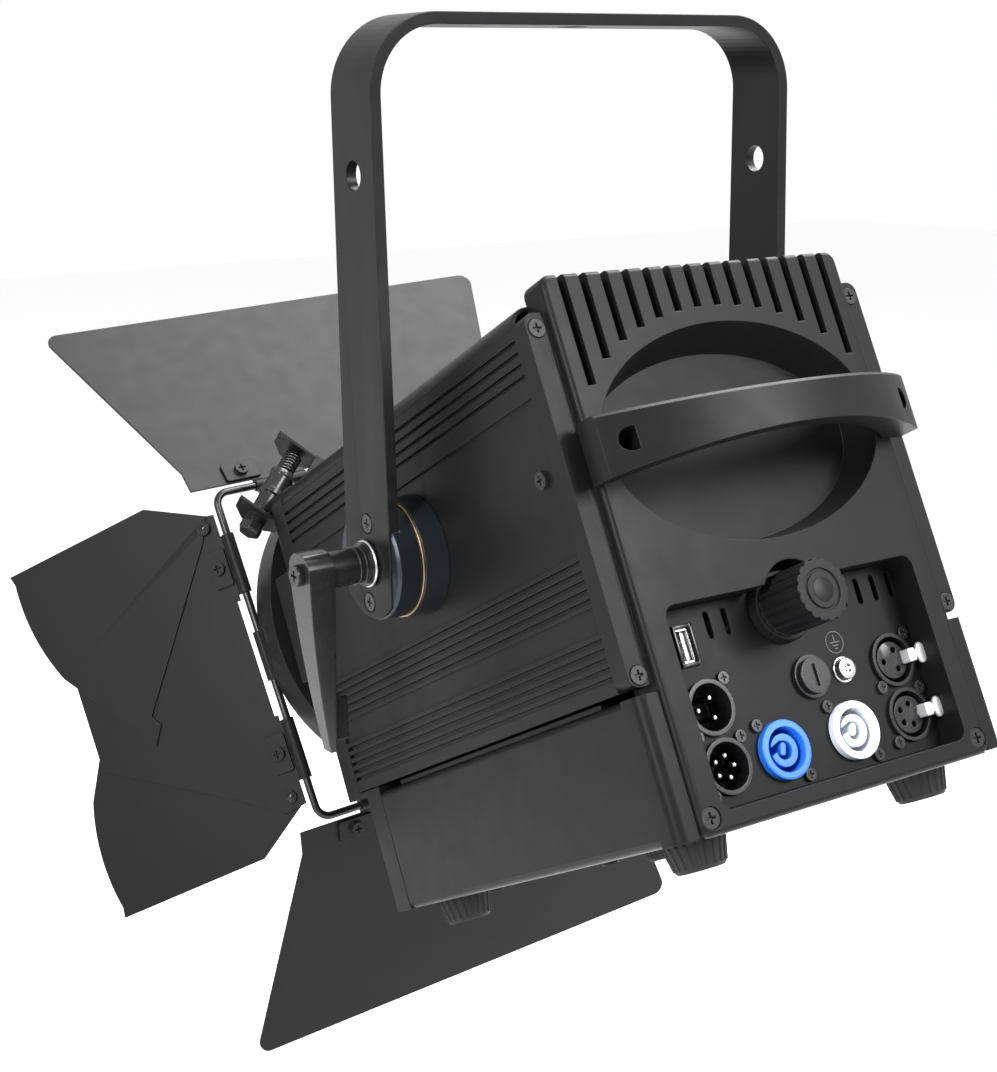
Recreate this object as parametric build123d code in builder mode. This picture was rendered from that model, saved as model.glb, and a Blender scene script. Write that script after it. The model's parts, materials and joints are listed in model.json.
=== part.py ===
"""Theatre Fresnel spotlight with four-leaf barndoors, hanging from its yoke.

Millimetres, +Z up. The origin is the top of the yoke's centre hole, where the hook clamp bolts on.
Front (the light's direction) is -Y before the head is tilted, and the clamp lever is on the +X side.
"""

from math import cos, radians, sin, sqrt
import os

from build123d import *

os.makedirs("parts", exist_ok=True)

# ---------------------------------------------------------------- driving dimensions

# tilt of the head about the yoke, front down
TILT = 27.3

# yoke: a flat bar bent to a U, narrower at the top
YOKE_HEIGHT = 224.0
YOKE_HALF = 109.5
YOKE_BAR = 5.0
YOKE_CORNER = 32.0
YOKE_FOOT_HALF = 18.7
YOKE_TOP_HALF = 15.7
YOKE_END_R = 24.0
CLAMP_HOLE_R = 6.5
SIDE_HOLE_R = 6.0
SIDE_HOLE_Z = 161.1

# tilt pivot: discs, friction washer, stud and clamp lever, stacked along X
DISC_R = 25.0
DISC_SCREW_Z = 17.3
SEAT_X = YOKE_HALF - YOKE_BAR
WASHER_X = 96.5
WASHER_T = 0.7
STUD_R = 5.0
RUN = 0.05
GAP = 0.3
LEVER_TIP_Z = -80.0
LEVER_IN_X = 130.2
LEVER_OUT_X = 142.4

# head case
CASE_HALF = 86.5
PANEL_X = 82.5
SHEET = 2.0
ROOF_Z = 66.4
ROOF_R = 9.0
SIDE_TOP_Z = 57.2
SIDE_LOW_Z = -88.0
BASE_TOP_Z = -91.0
BASE_LOW_Z = -147.3
BEZEL_FRONT = -126.0
BEZEL_BACK = -112.0
BASE_FRONT = -105.0
BASE_SEAM = -91.0
CASE_BACK = 117.3
TRAY_BACK = 129.0

# back cover
EAR_BACK = 126.8
COVER_BACK = 131.2
COVER_HALF = 76.6
COVER_TOP_Z = 73.5
COVER_LOW_Z = -148.0
DISH_A, DISH_B, DISH_Z = 70.0, 45.5, 2.0
DISH_FLOOR = 113.3
COVER_FLOOR = 110.5
HANDLE_BACK = 167.0
KNOB_BACK = 146.7
RECESS_HALF = 65.0
RECESS_TOP_Z = -61.0
RECESS_LOW_Z = -140.0
PANEL_Y = 117.2
KNOB_Z = -69.3

# optics
LENS_R = 61.0
APERTURE_R = 58.5
FAN_Y = 84.0
ROD_X, ROD_Z, ROD_R = 55.0, -54.0, 4.0

# barndoor ring, square rod and leaves
DOOR_Y = -171.0
DOOR_ROLL = 3.4
ROD_HALF = 87.8
WIRE_R = 2.0
RING_R = 89.5
RING_DEPTH = 21.0
FLANGE_R = 82.5
NECK_R = 78.0
NECK_LENGTH = 15.0
LEAF_T = 1.0
WIDE_ANGLE_TOP = 19.6
WIDE_ANGLE_LOW = 27.5
SIDE_ANGLE = 45.0
WING_PIVOT = (10.8, 72.6)
WING_R = 110.0
WING_PIN_R = 2.5
LOW_WING_SWING = 9.5

# ---------------------------------------------------------------- frames

AXIS = Location((0, 0, -YOKE_HEIGHT))
HEAD = AXIS * Location((0, 0, 0), (TILT, 0, 0))
DOOR_PLANE = Plane(
    origin=(0, DOOR_Y, 0),
    x_dir=(cos(radians(DOOR_ROLL)), 0, -sin(radians(DOOR_ROLL))),
    z_dir=(0, -1, 0),
)
DOOR = HEAD * DOOR_PLANE.location
CLIP_PLANE = Plane(origin=(74.1, -136.0, 74.1), x_dir=(1, 0, 1), z_dir=(1, 0, -1))
CLIP = HEAD * CLIP_PLANE.location


def placed(frame, plane):
    """The plane, carried into a frame."""
    return Plane(frame * plane.location)


def level(z):
    """Head plane at height z, looking down on X and Y."""
    return placed(HEAD, Plane.XY.offset(z))


def across(y):
    """Head plane at depth y, drawn in X and Z, facing the front."""
    return placed(HEAD, Plane.XZ.offset(-y))


def beside(x):
    """Head plane at x, drawn in Y and Z, facing +X."""
    return placed(HEAD, Plane.YZ.offset(x))


def behind(y):
    """Head plane at depth y facing the back, drawn in X and -Z."""
    return placed(HEAD, Plane(origin=(0, y, 0), x_dir=(1, 0, 0), z_dir=(0, 1, 0)))


def level_down(z):
    """Head plane at height z facing down, drawn in X and -Y."""
    return placed(HEAD, Plane(origin=(0, 0, z), x_dir=(1, 0, 0), z_dir=(0, 0, -1)))


def flip(points):
    """The points with their second value turned over, for planes that face back or down."""
    return [(u, -v) for u, v in points]


def polar(radius, angle):
    """A point on a circle about the sketch's origin."""
    return (radius * cos(radians(angle)), radius * sin(radians(angle)))


def yoke_beside(x):
    """Yoke plane at x, drawn in Y and Z about the tilt axis, facing +X."""
    return placed(AXIS, Plane.YZ.offset(x))


def cut_holes(plane, points, radius, depth):
    """Round holes from a plane, against its normal, in the part being built."""
    with BuildSketch(plane) as holes:
        with Locations(*points):
            Circle(radius)
    extrude(holes.sketch, amount=-depth, mode=Mode.SUBTRACT)


def add_pins(plane, points, radius, length):
    """Round pins from a plane, along its normal, in the part being built."""
    with BuildSketch(plane) as pins:
        with Locations(*points):
            Circle(radius)
    extrude(pins.sketch, amount=length)


def add_screws(plane, points, head_r, head_t, shank_r, shank):
    """Screws with their heads on a plane and a cross recess, in the part being built."""
    add_pins(plane, points, head_r, head_t)
    add_pins(plane, points, shank_r, -shank)
    with BuildSketch(plane.offset(head_t)) as cross:
        with Locations(*points):
            Rectangle(head_r * 1.1, head_r * 0.25)
            Rectangle(head_r * 0.25, head_r * 1.1)
    extrude(cross.sketch, amount=-head_t * 0.6, mode=Mode.SUBTRACT)


# ---------------------------------------------------------------- yoke


def arm_outline(grow):
    """Side view of a yoke arm about the tilt axis: a tapered strip with a round end."""
    foot = YOKE_FOOT_HALF + grow
    top = YOKE_TOP_HALF + grow
    with BuildSketch(mode=Mode.PRIVATE) as outline:
        with BuildLine():
            Polyline((-foot, 0), (-top, YOKE_HEIGHT + 1), (top, YOKE_HEIGHT + 1), (foot, 0), close=True)
        make_face()
        with BuildSketch(mode=Mode.PRIVATE) as end:
            Circle(YOKE_END_R + grow)
            Rectangle(2 * foot, 2 * YOKE_END_R + 10, mode=Mode.INTERSECT)
        add(end.sketch)
    return outline.sketch


with BuildPart() as yoke:
    with BuildSketch(placed(AXIS, Plane.XZ)) as bar:
        with Locations((0, YOKE_HEIGHT / 2 - 50)):
            RectangleRounded(2 * YOKE_HALF, YOKE_HEIGHT + 100, YOKE_CORNER)
        with Locations((0, YOKE_HEIGHT / 2 - YOKE_BAR - 50)):
            RectangleRounded(2 * SEAT_X, YOKE_HEIGHT + 100, YOKE_CORNER - YOKE_BAR, mode=Mode.SUBTRACT)
    extrude(amount=30, both=True)
    extrude(yoke_beside(0) * arm_outline(0), amount=YOKE_HALF + 5, both=True, mode=Mode.INTERSECT)
    cut_holes(placed(AXIS, Plane.XY.offset(YOKE_HEIGHT)), [(0, 0)], CLAMP_HOLE_R, YOKE_BAR)
    cut_holes(yoke_beside(YOKE_HALF), [(0, SIDE_HOLE_Z)], SIDE_HOLE_R, 2 * YOKE_HALF)
    cut_holes(yoke_beside(YOKE_HALF), [(0, 0)], STUD_R + RUN, 2 * YOKE_HALF)
    cut_holes(yoke_beside(YOKE_HALF), [(0, DISC_SCREW_Z), (0, -DISC_SCREW_Z)], 2.1, 2 * YOKE_HALF)
    for x, turn in ((YOKE_HALF, 1), (-YOKE_HALF, -1)):
        for z in (DISC_SCREW_Z, -DISC_SCREW_Z):
            with BuildSketch(yoke_beside(x)) as mouth:
                with Locations((0, z)):
                    Circle(4.7)
            extrude(amount=-2.6 * turn, taper=45, mode=Mode.SUBTRACT)
yoke.part.label = "yoke"
export_step(yoke.part, "parts/yoke.step")

with BuildPart() as yoke_discs:
    with BuildSketch(yoke_beside(WASHER_X + WASHER_T + 0.1)) as disc:
        Circle(DISC_R)
    extrude(amount=YOKE_HALF - 0.6 - (WASHER_X + WASHER_T + 0.1))
    chamfer(yoke_discs.edges().group_by(Axis.X)[-1], 1.2)
    extrude(yoke_beside(SEAT_X - 0.1) * arm_outline(0.15), amount=20, mode=Mode.SUBTRACT)
    cut_holes(yoke_beside(YOKE_HALF), [(0, 0)], STUD_R + RUN, 20)
    cut_holes(yoke_beside(YOKE_HALF), [(0, DISC_SCREW_Z), (0, -DISC_SCREW_Z)], 2.05, 20)
    mirror(about=Plane.YZ)
yoke_discs.part.label = "yoke_discs"
export_step(yoke_discs.part, "parts/yoke_discs.step")

with BuildPart() as disc_screws:
    for z in (DISC_SCREW_Z, -DISC_SCREW_Z):
        with BuildSketch(yoke_beside(YOKE_HALF)) as top:
            with Locations((0, z)):
                Circle(4.0)
                Rectangle(4.0, 0.9, mode=Mode.SUBTRACT)
                Rectangle(0.9, 4.0, mode=Mode.SUBTRACT)
        extrude(amount=-0.6)
        with BuildSketch(yoke_beside(YOKE_HALF - 0.6)) as cone:
            with Locations((0, z)):
                Circle(3.4)
        extrude(amount=-1.3, taper=45)
    add_pins(yoke_beside(YOKE_HALF - 9), [(0, DISC_SCREW_Z), (0, -DISC_SCREW_Z)], 2.0, 8)
    mirror(about=Plane.YZ)
disc_screws.part.label = "disc_screws"
export_step(disc_screws.part, "parts/disc_screws.step")

with BuildPart() as friction_washers:
    with BuildSketch(yoke_beside(WASHER_X)):
        Circle(DISC_R + 0.5)
        Circle(STUD_R + 1, mode=Mode.SUBTRACT)
    extrude(amount=WASHER_T)
    mirror(about=Plane.YZ)
friction_washers.part.label = "friction_washers"
export_step(friction_washers.part, "parts/friction_washers.step")

# ---------------------------------------------------------------- clamp lever

with BuildPart() as tilt_lever:
    add_pins(yoke_beside(YOKE_HALF + GAP), [(0, 0)], 9.6, 2.6)
    add_pins(yoke_beside(YOKE_HALF + GAP), [(0, 0)], 7.8, LEVER_IN_X - YOKE_HALF)
    with BuildSketch(placed(AXIS, Plane.XZ)) as front_view:
        with BuildLine():
            Polyline((LEVER_IN_X, 9), (LEVER_OUT_X, 9), (LEVER_OUT_X, 0))
            ThreePointArc((LEVER_OUT_X, 0), (138.4, -46), (133.0, LEVER_TIP_Z))
            Polyline((133.0, LEVER_TIP_Z), (LEVER_IN_X, LEVER_TIP_Z), (LEVER_IN_X, 9))
        make_face()
    extrude(amount=9, both=True)
    with BuildSketch(yoke_beside(0)) as side_view:
        Circle(9)
        with BuildLine():
            Polyline((-9, 0), (9, 0), (3.2, LEVER_TIP_Z), (-3.2, LEVER_TIP_Z), close=True)
        make_face()
        Circle(9.6)
    extrude(amount=150, mode=Mode.INTERSECT)
    with BuildSketch(yoke_beside(LEVER_IN_X)) as fin:
        with Locations((-1.5, -67)):
            RectangleRounded(3, 20, 1.4)
    extrude(amount=-8)
    cut_holes(yoke_beside(139), [(0, 0)], STUD_R + RUN, 40)
    cut_holes(yoke_beside(150), [(0, 0)], 2.1, 20)
tilt_lever.part.label = "tilt_lever"
export_step(tilt_lever.part, "parts/tilt_lever.step")

with BuildPart() as lever_screw:
    add_screws(yoke_beside(LEVER_OUT_X), [(0, 0)], 4.6, 2.6, 2.0, 12)
lever_screw.part.label = "lever_screw"
export_step(lever_screw.part, "parts/lever_screw.step")

with BuildPart() as pivot_studs:
    add_pins(yoke_beside(78.4), [(0, 0)], STUD_R, 138.6 - 78.4)
    cut_holes(yoke_beside(138.6), [(0, 0)], 2.1, 10)
    add_pins(yoke_beside(78.4), [(0, 0)], 9.0, 3.7)
    add_pins(yoke_beside(-78.4), [(0, 0)], STUD_R, -(YOKE_HALF + GAP - 78.4))
    add_pins(yoke_beside(-78.4), [(0, 0)], 9.0, -3.7)
    with BuildSketch(yoke_beside(-YOKE_HALF - GAP)) as bolt_head:
        RegularPolygon(8.5, 6)
    extrude(amount=-6)
pivot_studs.part.label = "pivot_studs"
export_step(pivot_studs.part, "parts/pivot_studs.step")

with BuildPart() as housing_discs:
    with BuildSketch(yoke_beside(PANEL_X + 2.4)):
        Circle(DISC_R + 1.5)
    extrude(amount=WASHER_X - GAP - PANEL_X - 2.4, taper=6)
    cut_holes(yoke_beside(YOKE_HALF), [(0, 0)], STUD_R + RUN, 40)
    mirror(about=Plane.YZ)
housing_discs.part.label = "housing_discs"
export_step(housing_discs.part, "parts/housing_discs.step")

# ---------------------------------------------------------------- case


def arch(half, top, corner, foot):
    """Front view of the head: upright sides and a top with round corners."""
    with BuildSketch(mode=Mode.PRIVATE) as outline:
        with Locations((0, (top + foot) / 2)):
            Rectangle(2 * half, top - foot)
        fillet(outline.vertices().group_by(Axis.Y)[-1], corner)
    return outline.sketch


with BuildPart() as front_bezel:
    extrude(across(BEZEL_BACK) * arch(CASE_HALF, ROOF_Z, ROOF_R, BASE_TOP_Z), amount=BEZEL_BACK - BEZEL_FRONT)
    fillet(front_bezel.edges().group_by(Axis((0, 0, 0), across(0).z_dir))[-1], 2.0)
    with BuildSketch(across(BEZEL_FRONT)):
        Circle(APERTURE_R)
    extrude(amount=-30, mode=Mode.SUBTRACT)
    with BuildSketch(across(-121.5)):
        Circle(LENS_R + 0.3)
    extrude(amount=-20, mode=Mode.SUBTRACT)
    with BuildSketch(across(BASE_SEAM)):
        with Locations((0, (BASE_TOP_Z + 2.5 + BASE_LOW_Z) / 2)):
            Rectangle(2 * CASE_HALF, BASE_TOP_Z + 2.5 - BASE_LOW_Z)
        with Locations((0, BASE_TOP_Z + 1.25)):
            Rectangle(2 * CASE_HALF, 2.5)
    extrude(amount=BASE_SEAM - BASE_FRONT)
    with BuildSketch(level(BASE_TOP_Z)):
        with Locations((0, (BASE_SEAM + BEZEL_BACK) / 2)):
            Rectangle(2 * CASE_HALF, BASE_SEAM - BEZEL_BACK)
    extrude(amount=2.5)
    with BuildSketch(across(BASE_SEAM)):
        with Locations((0, (BASE_TOP_Z + BASE_LOW_Z) / 2)):
            Rectangle(2 * CASE_HALF - 6, BASE_TOP_Z - BASE_LOW_Z - 6)
    extrude(amount=BASE_SEAM - BASE_FRONT - 2.5, mode=Mode.SUBTRACT)
    cut_holes(across(BEZEL_BACK - 6), [(ROD_X, ROD_Z), (-ROD_X, ROD_Z)], ROD_R + RUN, 10)
front_bezel.part.label = "front_bezel"
export_step(front_bezel.part, "parts/front_bezel.step")

GROOVES = (
    [SIDE_TOP_Z - 5.0 - 4.6 * i for i in range(4)]
    + [-36.5 - 3.7 * i for i in range(5)]
    + [-67.0 - 3.7 * i for i in range(5)]
)

for side, name in ((1, "left_side_panel"), (-1, "right_side_panel")):
    with BuildPart() as side_panel:
        with BuildSketch(across(CASE_BACK)) as section:
            with Locations((side * (PANEL_X + 1.2), (SIDE_TOP_Z + SIDE_LOW_Z) / 2)):
                Rectangle(2.4, SIDE_TOP_Z - SIDE_LOW_Z)
            for top, low in ((SIDE_TOP_Z, 29.8), (-33.6, -54.0), (-64.0, SIDE_LOW_Z)):
                with Locations((side * (PANEL_X + 2.9), (top + low) / 2)):
                    Rectangle(1.6, top - low)
            for z in GROOVES:
                with Locations((side * (PANEL_X + 3.1), z)):
                    Rectangle(2.2, 1.7, mode=Mode.SUBTRACT)
        extrude(amount=CASE_BACK - BEZEL_BACK - 0.1)
        with BuildSketch(yoke_beside(side * 60)) as bore:
            Circle(STUD_R + 1)
        extrude(amount=side * 40, mode=Mode.SUBTRACT)
        cut_holes(beside(side * 60), [(107.6, -0.7)], 1.6, -side * 40)
    side_panel.part.label = name
    export_step(side_panel.part, f"parts/{name}.step")

with BuildPart() as roof_panel:
    with BuildSketch(across(CASE_BACK)) as section:
        add(arch(CASE_HALF - 0.5, ROOF_Z - 0.4, ROOF_R, 0))
        add(arch(CASE_HALF - 0.5 - SHEET, ROOF_Z - 0.4 - SHEET, ROOF_R - SHEET, -1), mode=Mode.SUBTRACT)
        with Locations((0, SIDE_TOP_Z / 2)):
            Rectangle(2 * CASE_HALF, SIDE_TOP_Z + 0.2, mode=Mode.SUBTRACT)
    extrude(amount=CASE_BACK - BEZEL_BACK - 0.1)
roof_panel.part.label = "roof_panel"
export_step(roof_panel.part, "parts/roof_panel.step")

DISPLAY_Y, DISPLAY_Z = 10.0, -119.0
DISPLAY_W, DISPLAY_H = 84.0, 34.0
MENU_Y, MENU_R = -18.0, 7.7
FOOT_SPOTS = [(60, 101), (-60, 101), (60, -87), (-60, -87)]
LOW_SCREWS = [(72, 59.5), (-72, 59.5), (72, -35), (-72, -35)]

with BuildPart() as base_tray:
    with BuildSketch(across(CASE_BACK)) as section:
        with Locations((0, (BASE_TOP_Z + BASE_LOW_Z) / 2)):
            Rectangle(2 * CASE_HALF, BASE_TOP_Z - BASE_LOW_Z)
        fillet(section.vertices(), 3.5)
        with Locations((0, (BASE_TOP_Z + BASE_LOW_Z) / 2)):
            Rectangle(2 * (CASE_HALF - SHEET), BASE_TOP_Z - BASE_LOW_Z - 2 * SHEET, mode=Mode.SUBTRACT)
        with Locations((0, BASE_TOP_Z)):
            Rectangle(2 * (CASE_HALF - 12), 2 * SHEET + 1, mode=Mode.SUBTRACT)
    extrude(amount=CASE_BACK - BASE_SEAM - 0.6)
    with BuildSketch(beside(-CASE_HALF)):
        with Locations((DISPLAY_Y, DISPLAY_Z)):
            RectangleRounded(DISPLAY_W, DISPLAY_H, 3)
    extrude(amount=10, mode=Mode.SUBTRACT)
    cut_holes(level(BASE_LOW_Z + SHEET), FOOT_SPOTS, 2.1, SHEET)
    cut_holes(level(BASE_LOW_Z + SHEET), LOW_SCREWS, 1.6, SHEET)
    with BuildSketch(level(BASE_LOW_Z)) as wings:
        for side in (1, -1):
            with Locations((side * (CASE_HALF + COVER_HALF + 0.3) / 2, (CASE_BACK + TRAY_BACK) / 2)):
                Rectangle(CASE_HALF - COVER_HALF - 0.3, TRAY_BACK - CASE_BACK)
        fillet(wings.vertices().filter_by(lambda v: abs(v.X) > CASE_HALF - 1).group_by(Axis.Y)[-1], 5)
    extrude(amount=BASE_TOP_Z - BASE_LOW_Z)
base_tray.part.label = "base_tray"
export_step(base_tray.part, "parts/base_tray.step")

with BuildPart() as divider_plate:
    with BuildSketch(level(BASE_TOP_Z + 0.1)):
        with Locations((0, (CASE_BACK + BASE_SEAM) / 2 - 2)):
            Rectangle(2 * PANEL_X - 0.6, CASE_BACK - BASE_SEAM - 34)
        with Locations((-30, 30), (30, 30)):
            Rectangle(30, 60, mode=Mode.SUBTRACT)
    extrude(amount=SHEET)
divider_plate.part.label = "divider_plate"
export_step(divider_plate.part, "parts/divider_plate.step")

with BuildPart() as feet:
    with BuildSketch(level(BASE_LOW_Z)):
        with Locations(*FOOT_SPOTS):
            Circle(13)
    extrude(amount=-12.2, taper=12)
    cut_holes(level(BASE_LOW_Z - 12.2), FOOT_SPOTS, 4.2, -8)
    cut_holes(level(BASE_LOW_Z - 12.2), FOOT_SPOTS, 2.1, -20)
feet.part.label = "feet"
export_step(feet.part, "parts/feet.step")

# ---------------------------------------------------------------- back cover

EAR_SCREWS = [(81.6, 53.7), (-81.6, 53.7), (81.6, -83.5), (-81.6, -83.5)]
CORNER_SCREWS = [(71.0, -141.1), (-71.0, -141.1)]
SLOT_COUNT = 14
SLOT_PITCH = 10.34

with BuildPart() as back_cover:
    with BuildSketch(across(EAR_BACK)) as ears:
        with Locations((0, (60 + SIDE_LOW_Z) / 2)):
            RectangleRounded(2 * CASE_HALF, 60 - SIDE_LOW_Z, 4.5)
        with Locations((0, (SIDE_LOW_Z + COVER_LOW_Z) / 2)):
            Rectangle(2 * COVER_HALF, SIDE_LOW_Z - COVER_LOW_Z)
    extrude(amount=EAR_BACK - CASE_BACK - 0.1)
    with BuildSketch(across(COVER_BACK)) as block:
        with Locations((0, (COVER_TOP_Z + COVER_LOW_Z) / 2)):
            RectangleRounded(2 * COVER_HALF, COVER_TOP_Z - COVER_LOW_Z, 5)
    extrude(amount=COVER_BACK - CASE_BACK - 0.1)
    rear_edges = back_cover.faces().sort_by(Axis((0, 0, 0), across(0).z_dir))[0].edges()
    fillet(rear_edges, 2.5)
    with BuildSketch(across(COVER_FLOOR)) as plug:
        with Locations((0, -42)):
            Rectangle(2 * 74, 2 * 101)
    extrude(amount=COVER_FLOOR - CASE_BACK - 1)
    with BuildSketch(across(COVER_BACK)) as rim:
        with Locations((0, DISH_Z)):
            Ellipse(DISH_A, DISH_B)
    with BuildSketch(across(DISH_FLOOR)) as floor:
        Ellipse(DISH_A - 3.5, DISH_B - 5.5)
    loft(mode=Mode.SUBTRACT)
    with BuildSketch(across(COVER_BACK + 1)) as recess:
        with Locations((0, (RECESS_TOP_Z + RECESS_LOW_Z) / 2)):
            RectangleRounded(2 * RECESS_HALF, RECESS_TOP_Z - RECESS_LOW_Z, 5)
        with Locations((0, KNOB_Z)):
            Circle(16.5)
    extrude(amount=30, mode=Mode.SUBTRACT)
    for i in range(SLOT_COUNT):
        x = SLOT_PITCH * (i - (SLOT_COUNT - 1) / 2)
        low = DISH_Z + 52.5 * sqrt(1 - (x / 77) ** 2)
        with BuildSketch(across(COVER_BACK + 1)) as slot:
            with Locations((x, (low + 80) / 2)):
                Rectangle(3.9, 80 - low)
        extrude(amount=COVER_BACK + 1 - CASE_BACK - 3, mode=Mode.SUBTRACT)
    cut_holes(across(EAR_BACK), EAR_SCREWS, 3.9, -1.5)
    cut_holes(across(EAR_BACK), EAR_SCREWS, 2.05, -20)
    cut_holes(across(COVER_BACK), CORNER_SCREWS, 4.4, -3)
    cut_holes(across(COVER_BACK), CORNER_SCREWS, 2.05, -30)
back_cover.part.label = "back_cover"
export_step(back_cover.part, "parts/back_cover.step")

with BuildPart() as cover_screws:
    add_screws(behind(EAR_BACK - 1.5), flip(EAR_SCREWS), 3.7, 2.0, 2.0, 8)
    add_screws(behind(COVER_BACK - 3), flip(CORNER_SCREWS), 4.2, 2.4, 2.0, 14)
    far_side = Plane(origin=(-PANEL_X - 2.4, 0, 0), x_dir=(0, -1, 0), z_dir=(-1, 0, 0))
    add_screws(beside(PANEL_X + 2.4), [(107.6, -0.7)], 3.6, 1.8, 1.5, 6)
    add_screws(placed(HEAD, far_side), [(-107.6, -0.7)], 3.6, 1.8, 1.5, 6)
    add_screws(level_down(BASE_LOW_Z), flip(LOW_SCREWS), 3.4, 1.6, 1.5, 6)
    add_screws(level_down(BASE_LOW_Z - 4.2), flip(FOOT_SPOTS), 3.9, 2.4, 2.0, 8)
cover_screws.part.label = "cover_screws"
export_step(cover_screws.part, "parts/cover_screws.step")

with BuildPart() as carry_handle:
    with BuildSketch(level(-12)) as plan:
        with BuildLine():
            ThreePointArc((-80, 143), (0, HANDLE_BACK), (80, 143))
            Polyline((80, 143), (80, COVER_BACK + 0.1), (70, COVER_BACK + 0.1))
            ThreePointArc((70, COVER_BACK + 0.1), (0, HANDLE_BACK - 8), (-70, COVER_BACK + 0.1))
            Polyline((-70, COVER_BACK + 0.1), (-80, COVER_BACK + 0.1), (-80, 143))
        make_face()
    extrude(amount=25)
    with BuildSketch(across(COVER_BACK)) as front_view:
        with BuildLine():
            ThreePointArc((-81, 13), (0, 10), (81, 13))
            Line((81, 13), (81, -12))
            ThreePointArc((81, -12), (0, -7), (-81, -12))
            Line((-81, -12), (-81, 13))
        make_face()
    extrude(amount=-50, mode=Mode.INTERSECT)
    chamfer(carry_handle.edges().sort_by(Axis.Z)[-2:], 1.5)
    cut_holes(across(150), [(69.8, 0.5), (-69.8, 0.5)], 4.7, -14)
    cut_holes(across(150), [(69.8, 0.5), (-69.8, 0.5)], 2.6, -25)
carry_handle.part.label = "carry_handle"
export_step(carry_handle.part, "parts/carry_handle.step")

# ---------------------------------------------------------------- connectors and controls

MALE = [(46.8, -101.3), (46.8, -124.6)]
FEMALE = [(-50.9, -101.0), (-50.9, -124.3)]
INLET = (18.4, -124.5)
OUTLET = (-19.1, -124.5)
FUSE = (-6.1, -99.3)
EARTH = (-24.0, -99.8)
USB = (50.0, -76.0)
CORE_R = 10.2
SLOT_XS = [44.7 - 9.0 * i for i in range(3)] + [-26.7 - 9.0 * i for i in range(5)]

with BuildPart() as connector_panel:
    with BuildSketch(across(PANEL_Y)):
        with Locations((0, (RECESS_TOP_Z + RECESS_LOW_Z) / 2)):
            RectangleRounded(2 * RECESS_HALF - 0.2, RECESS_TOP_Z - RECESS_LOW_Z - 0.2, 4.9)
        with Locations((0, KNOB_Z)):
            Circle(16.4)
    extrude(amount=SHEET)
    cut_holes(across(PANEL_Y), MALE + FEMALE + [INLET, OUTLET], CORE_R + 0.1, -SHEET)
    cut_holes(across(PANEL_Y), [FUSE], 7.1, -SHEET)
    cut_holes(across(PANEL_Y), [(0, KNOB_Z)], ROD_R + RUN, -SHEET)
    with BuildSketch(across(PANEL_Y)):
        with Locations(*[(x, -70.0) for x in SLOT_XS[1:]]):
            SlotOverall(11, 2.8, rotation=90)
        with Locations(USB):
            Rectangle(6.4, 13.4)
    extrude(amount=SHEET, mode=Mode.SUBTRACT)
connector_panel.part.label = "connector_panel"
export_step(connector_panel.part, "parts/connector_panel.step")


def add_socket(spots, outer, lip, core, depth):
    """Round chassis sockets on the panel: a rim, a barrel through it and an open well."""
    with BuildSketch(behind(PANEL_Y)) as profile:
        with Locations(*flip(spots)):
            Circle(outer)
    extrude(profile.sketch, amount=lip)
    with BuildSketch(behind(PANEL_Y)) as profile:
        with Locations(*flip(spots)):
            Circle(CORE_R)
    extrude(profile.sketch, amount=-depth)
    with BuildSketch(behind(PANEL_Y + lip)) as profile:
        with Locations(*flip(spots)):
            Circle(core)
    extrude(profile.sketch, amount=-depth - lip + 3, mode=Mode.SUBTRACT)


with BuildPart() as xlr_male_sockets:
    add_socket(MALE, 11.2, 1.8, 9.3, 16)
    for (x, z), pins in zip(MALE, (3, 5)):
        with BuildSketch(behind(PANEL_Y - 13)):
            with Locations((x, -z)):
                with PolarLocations(4.6, pins, 0 if pins == 3 else 36):
                    Circle(1.0)
        extrude(amount=12)
xlr_male_sockets.part.label = "xlr_male_sockets"
export_step(xlr_male_sockets.part, "parts/xlr_male_sockets.step")

with BuildPart() as xlr_female_sockets:
    add_socket(FEMALE, 11.2, 1.8, 9.6, 16)
    for (x, z), pins in zip(FEMALE, (3, 5)):
        with BuildSketch(behind(PANEL_Y - 13)):
            with Locations((x, -z)):
                Circle(7.8)
                with PolarLocations(4.6, pins, 0 if pins == 3 else 36):
                    Circle(1.3, mode=Mode.SUBTRACT)
        extrude(amount=13.5)
        with BuildSketch(behind(PANEL_Y + 3)):
            with Locations((x - 7.6, -z)):
                Rectangle(4.6, 6.4)
        extrude(amount=-8, mode=Mode.SUBTRACT)
xlr_female_sockets.part.label = "xlr_female_sockets"
export_step(xlr_female_sockets.part, "parts/xlr_female_sockets.step")

for spot, name in zip(FEMALE, ("release_latch_upper", "release_latch_lower")):
    with BuildPart() as latch:
        with BuildSketch(behind(PANEL_Y - 2.5)):
            with Locations((spot[0] - 7.6, -spot[1])):
                RectangleRounded(3.8, 5.6, 0.8)
        extrude(amount=8.0)
        chamfer(latch.faces().sort_by(Axis(HEAD.position, behind(0).z_dir))[-1].edges(), 0.5)
    latch.part.label = name
    export_step(latch.part, f"parts/{name}.step")

for spot, name in ((INLET, "power_inlet"), (OUTLET, "power_outlet")):
    with BuildPart() as power_socket:
        add_socket([spot], 11.8, 3.2, 9.4, 18)
        with BuildSketch(behind(PANEL_Y - 15)):
            with Locations((spot[0], -spot[1])):
                Circle(6.6)
                Circle(3.8, mode=Mode.SUBTRACT)
                with Locations((3.6, -1.6)):
                    Rectangle(7.0, 3.0, rotation=20, mode=Mode.SUBTRACT)
                with Locations((0.4, -0.6)):
                    SlotOverall(5.2, 2.4, rotation=70)
        extrude(amount=16.4)
    power_socket.part.label = name
    export_step(power_socket.part, f"parts/{name}.step")

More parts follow.
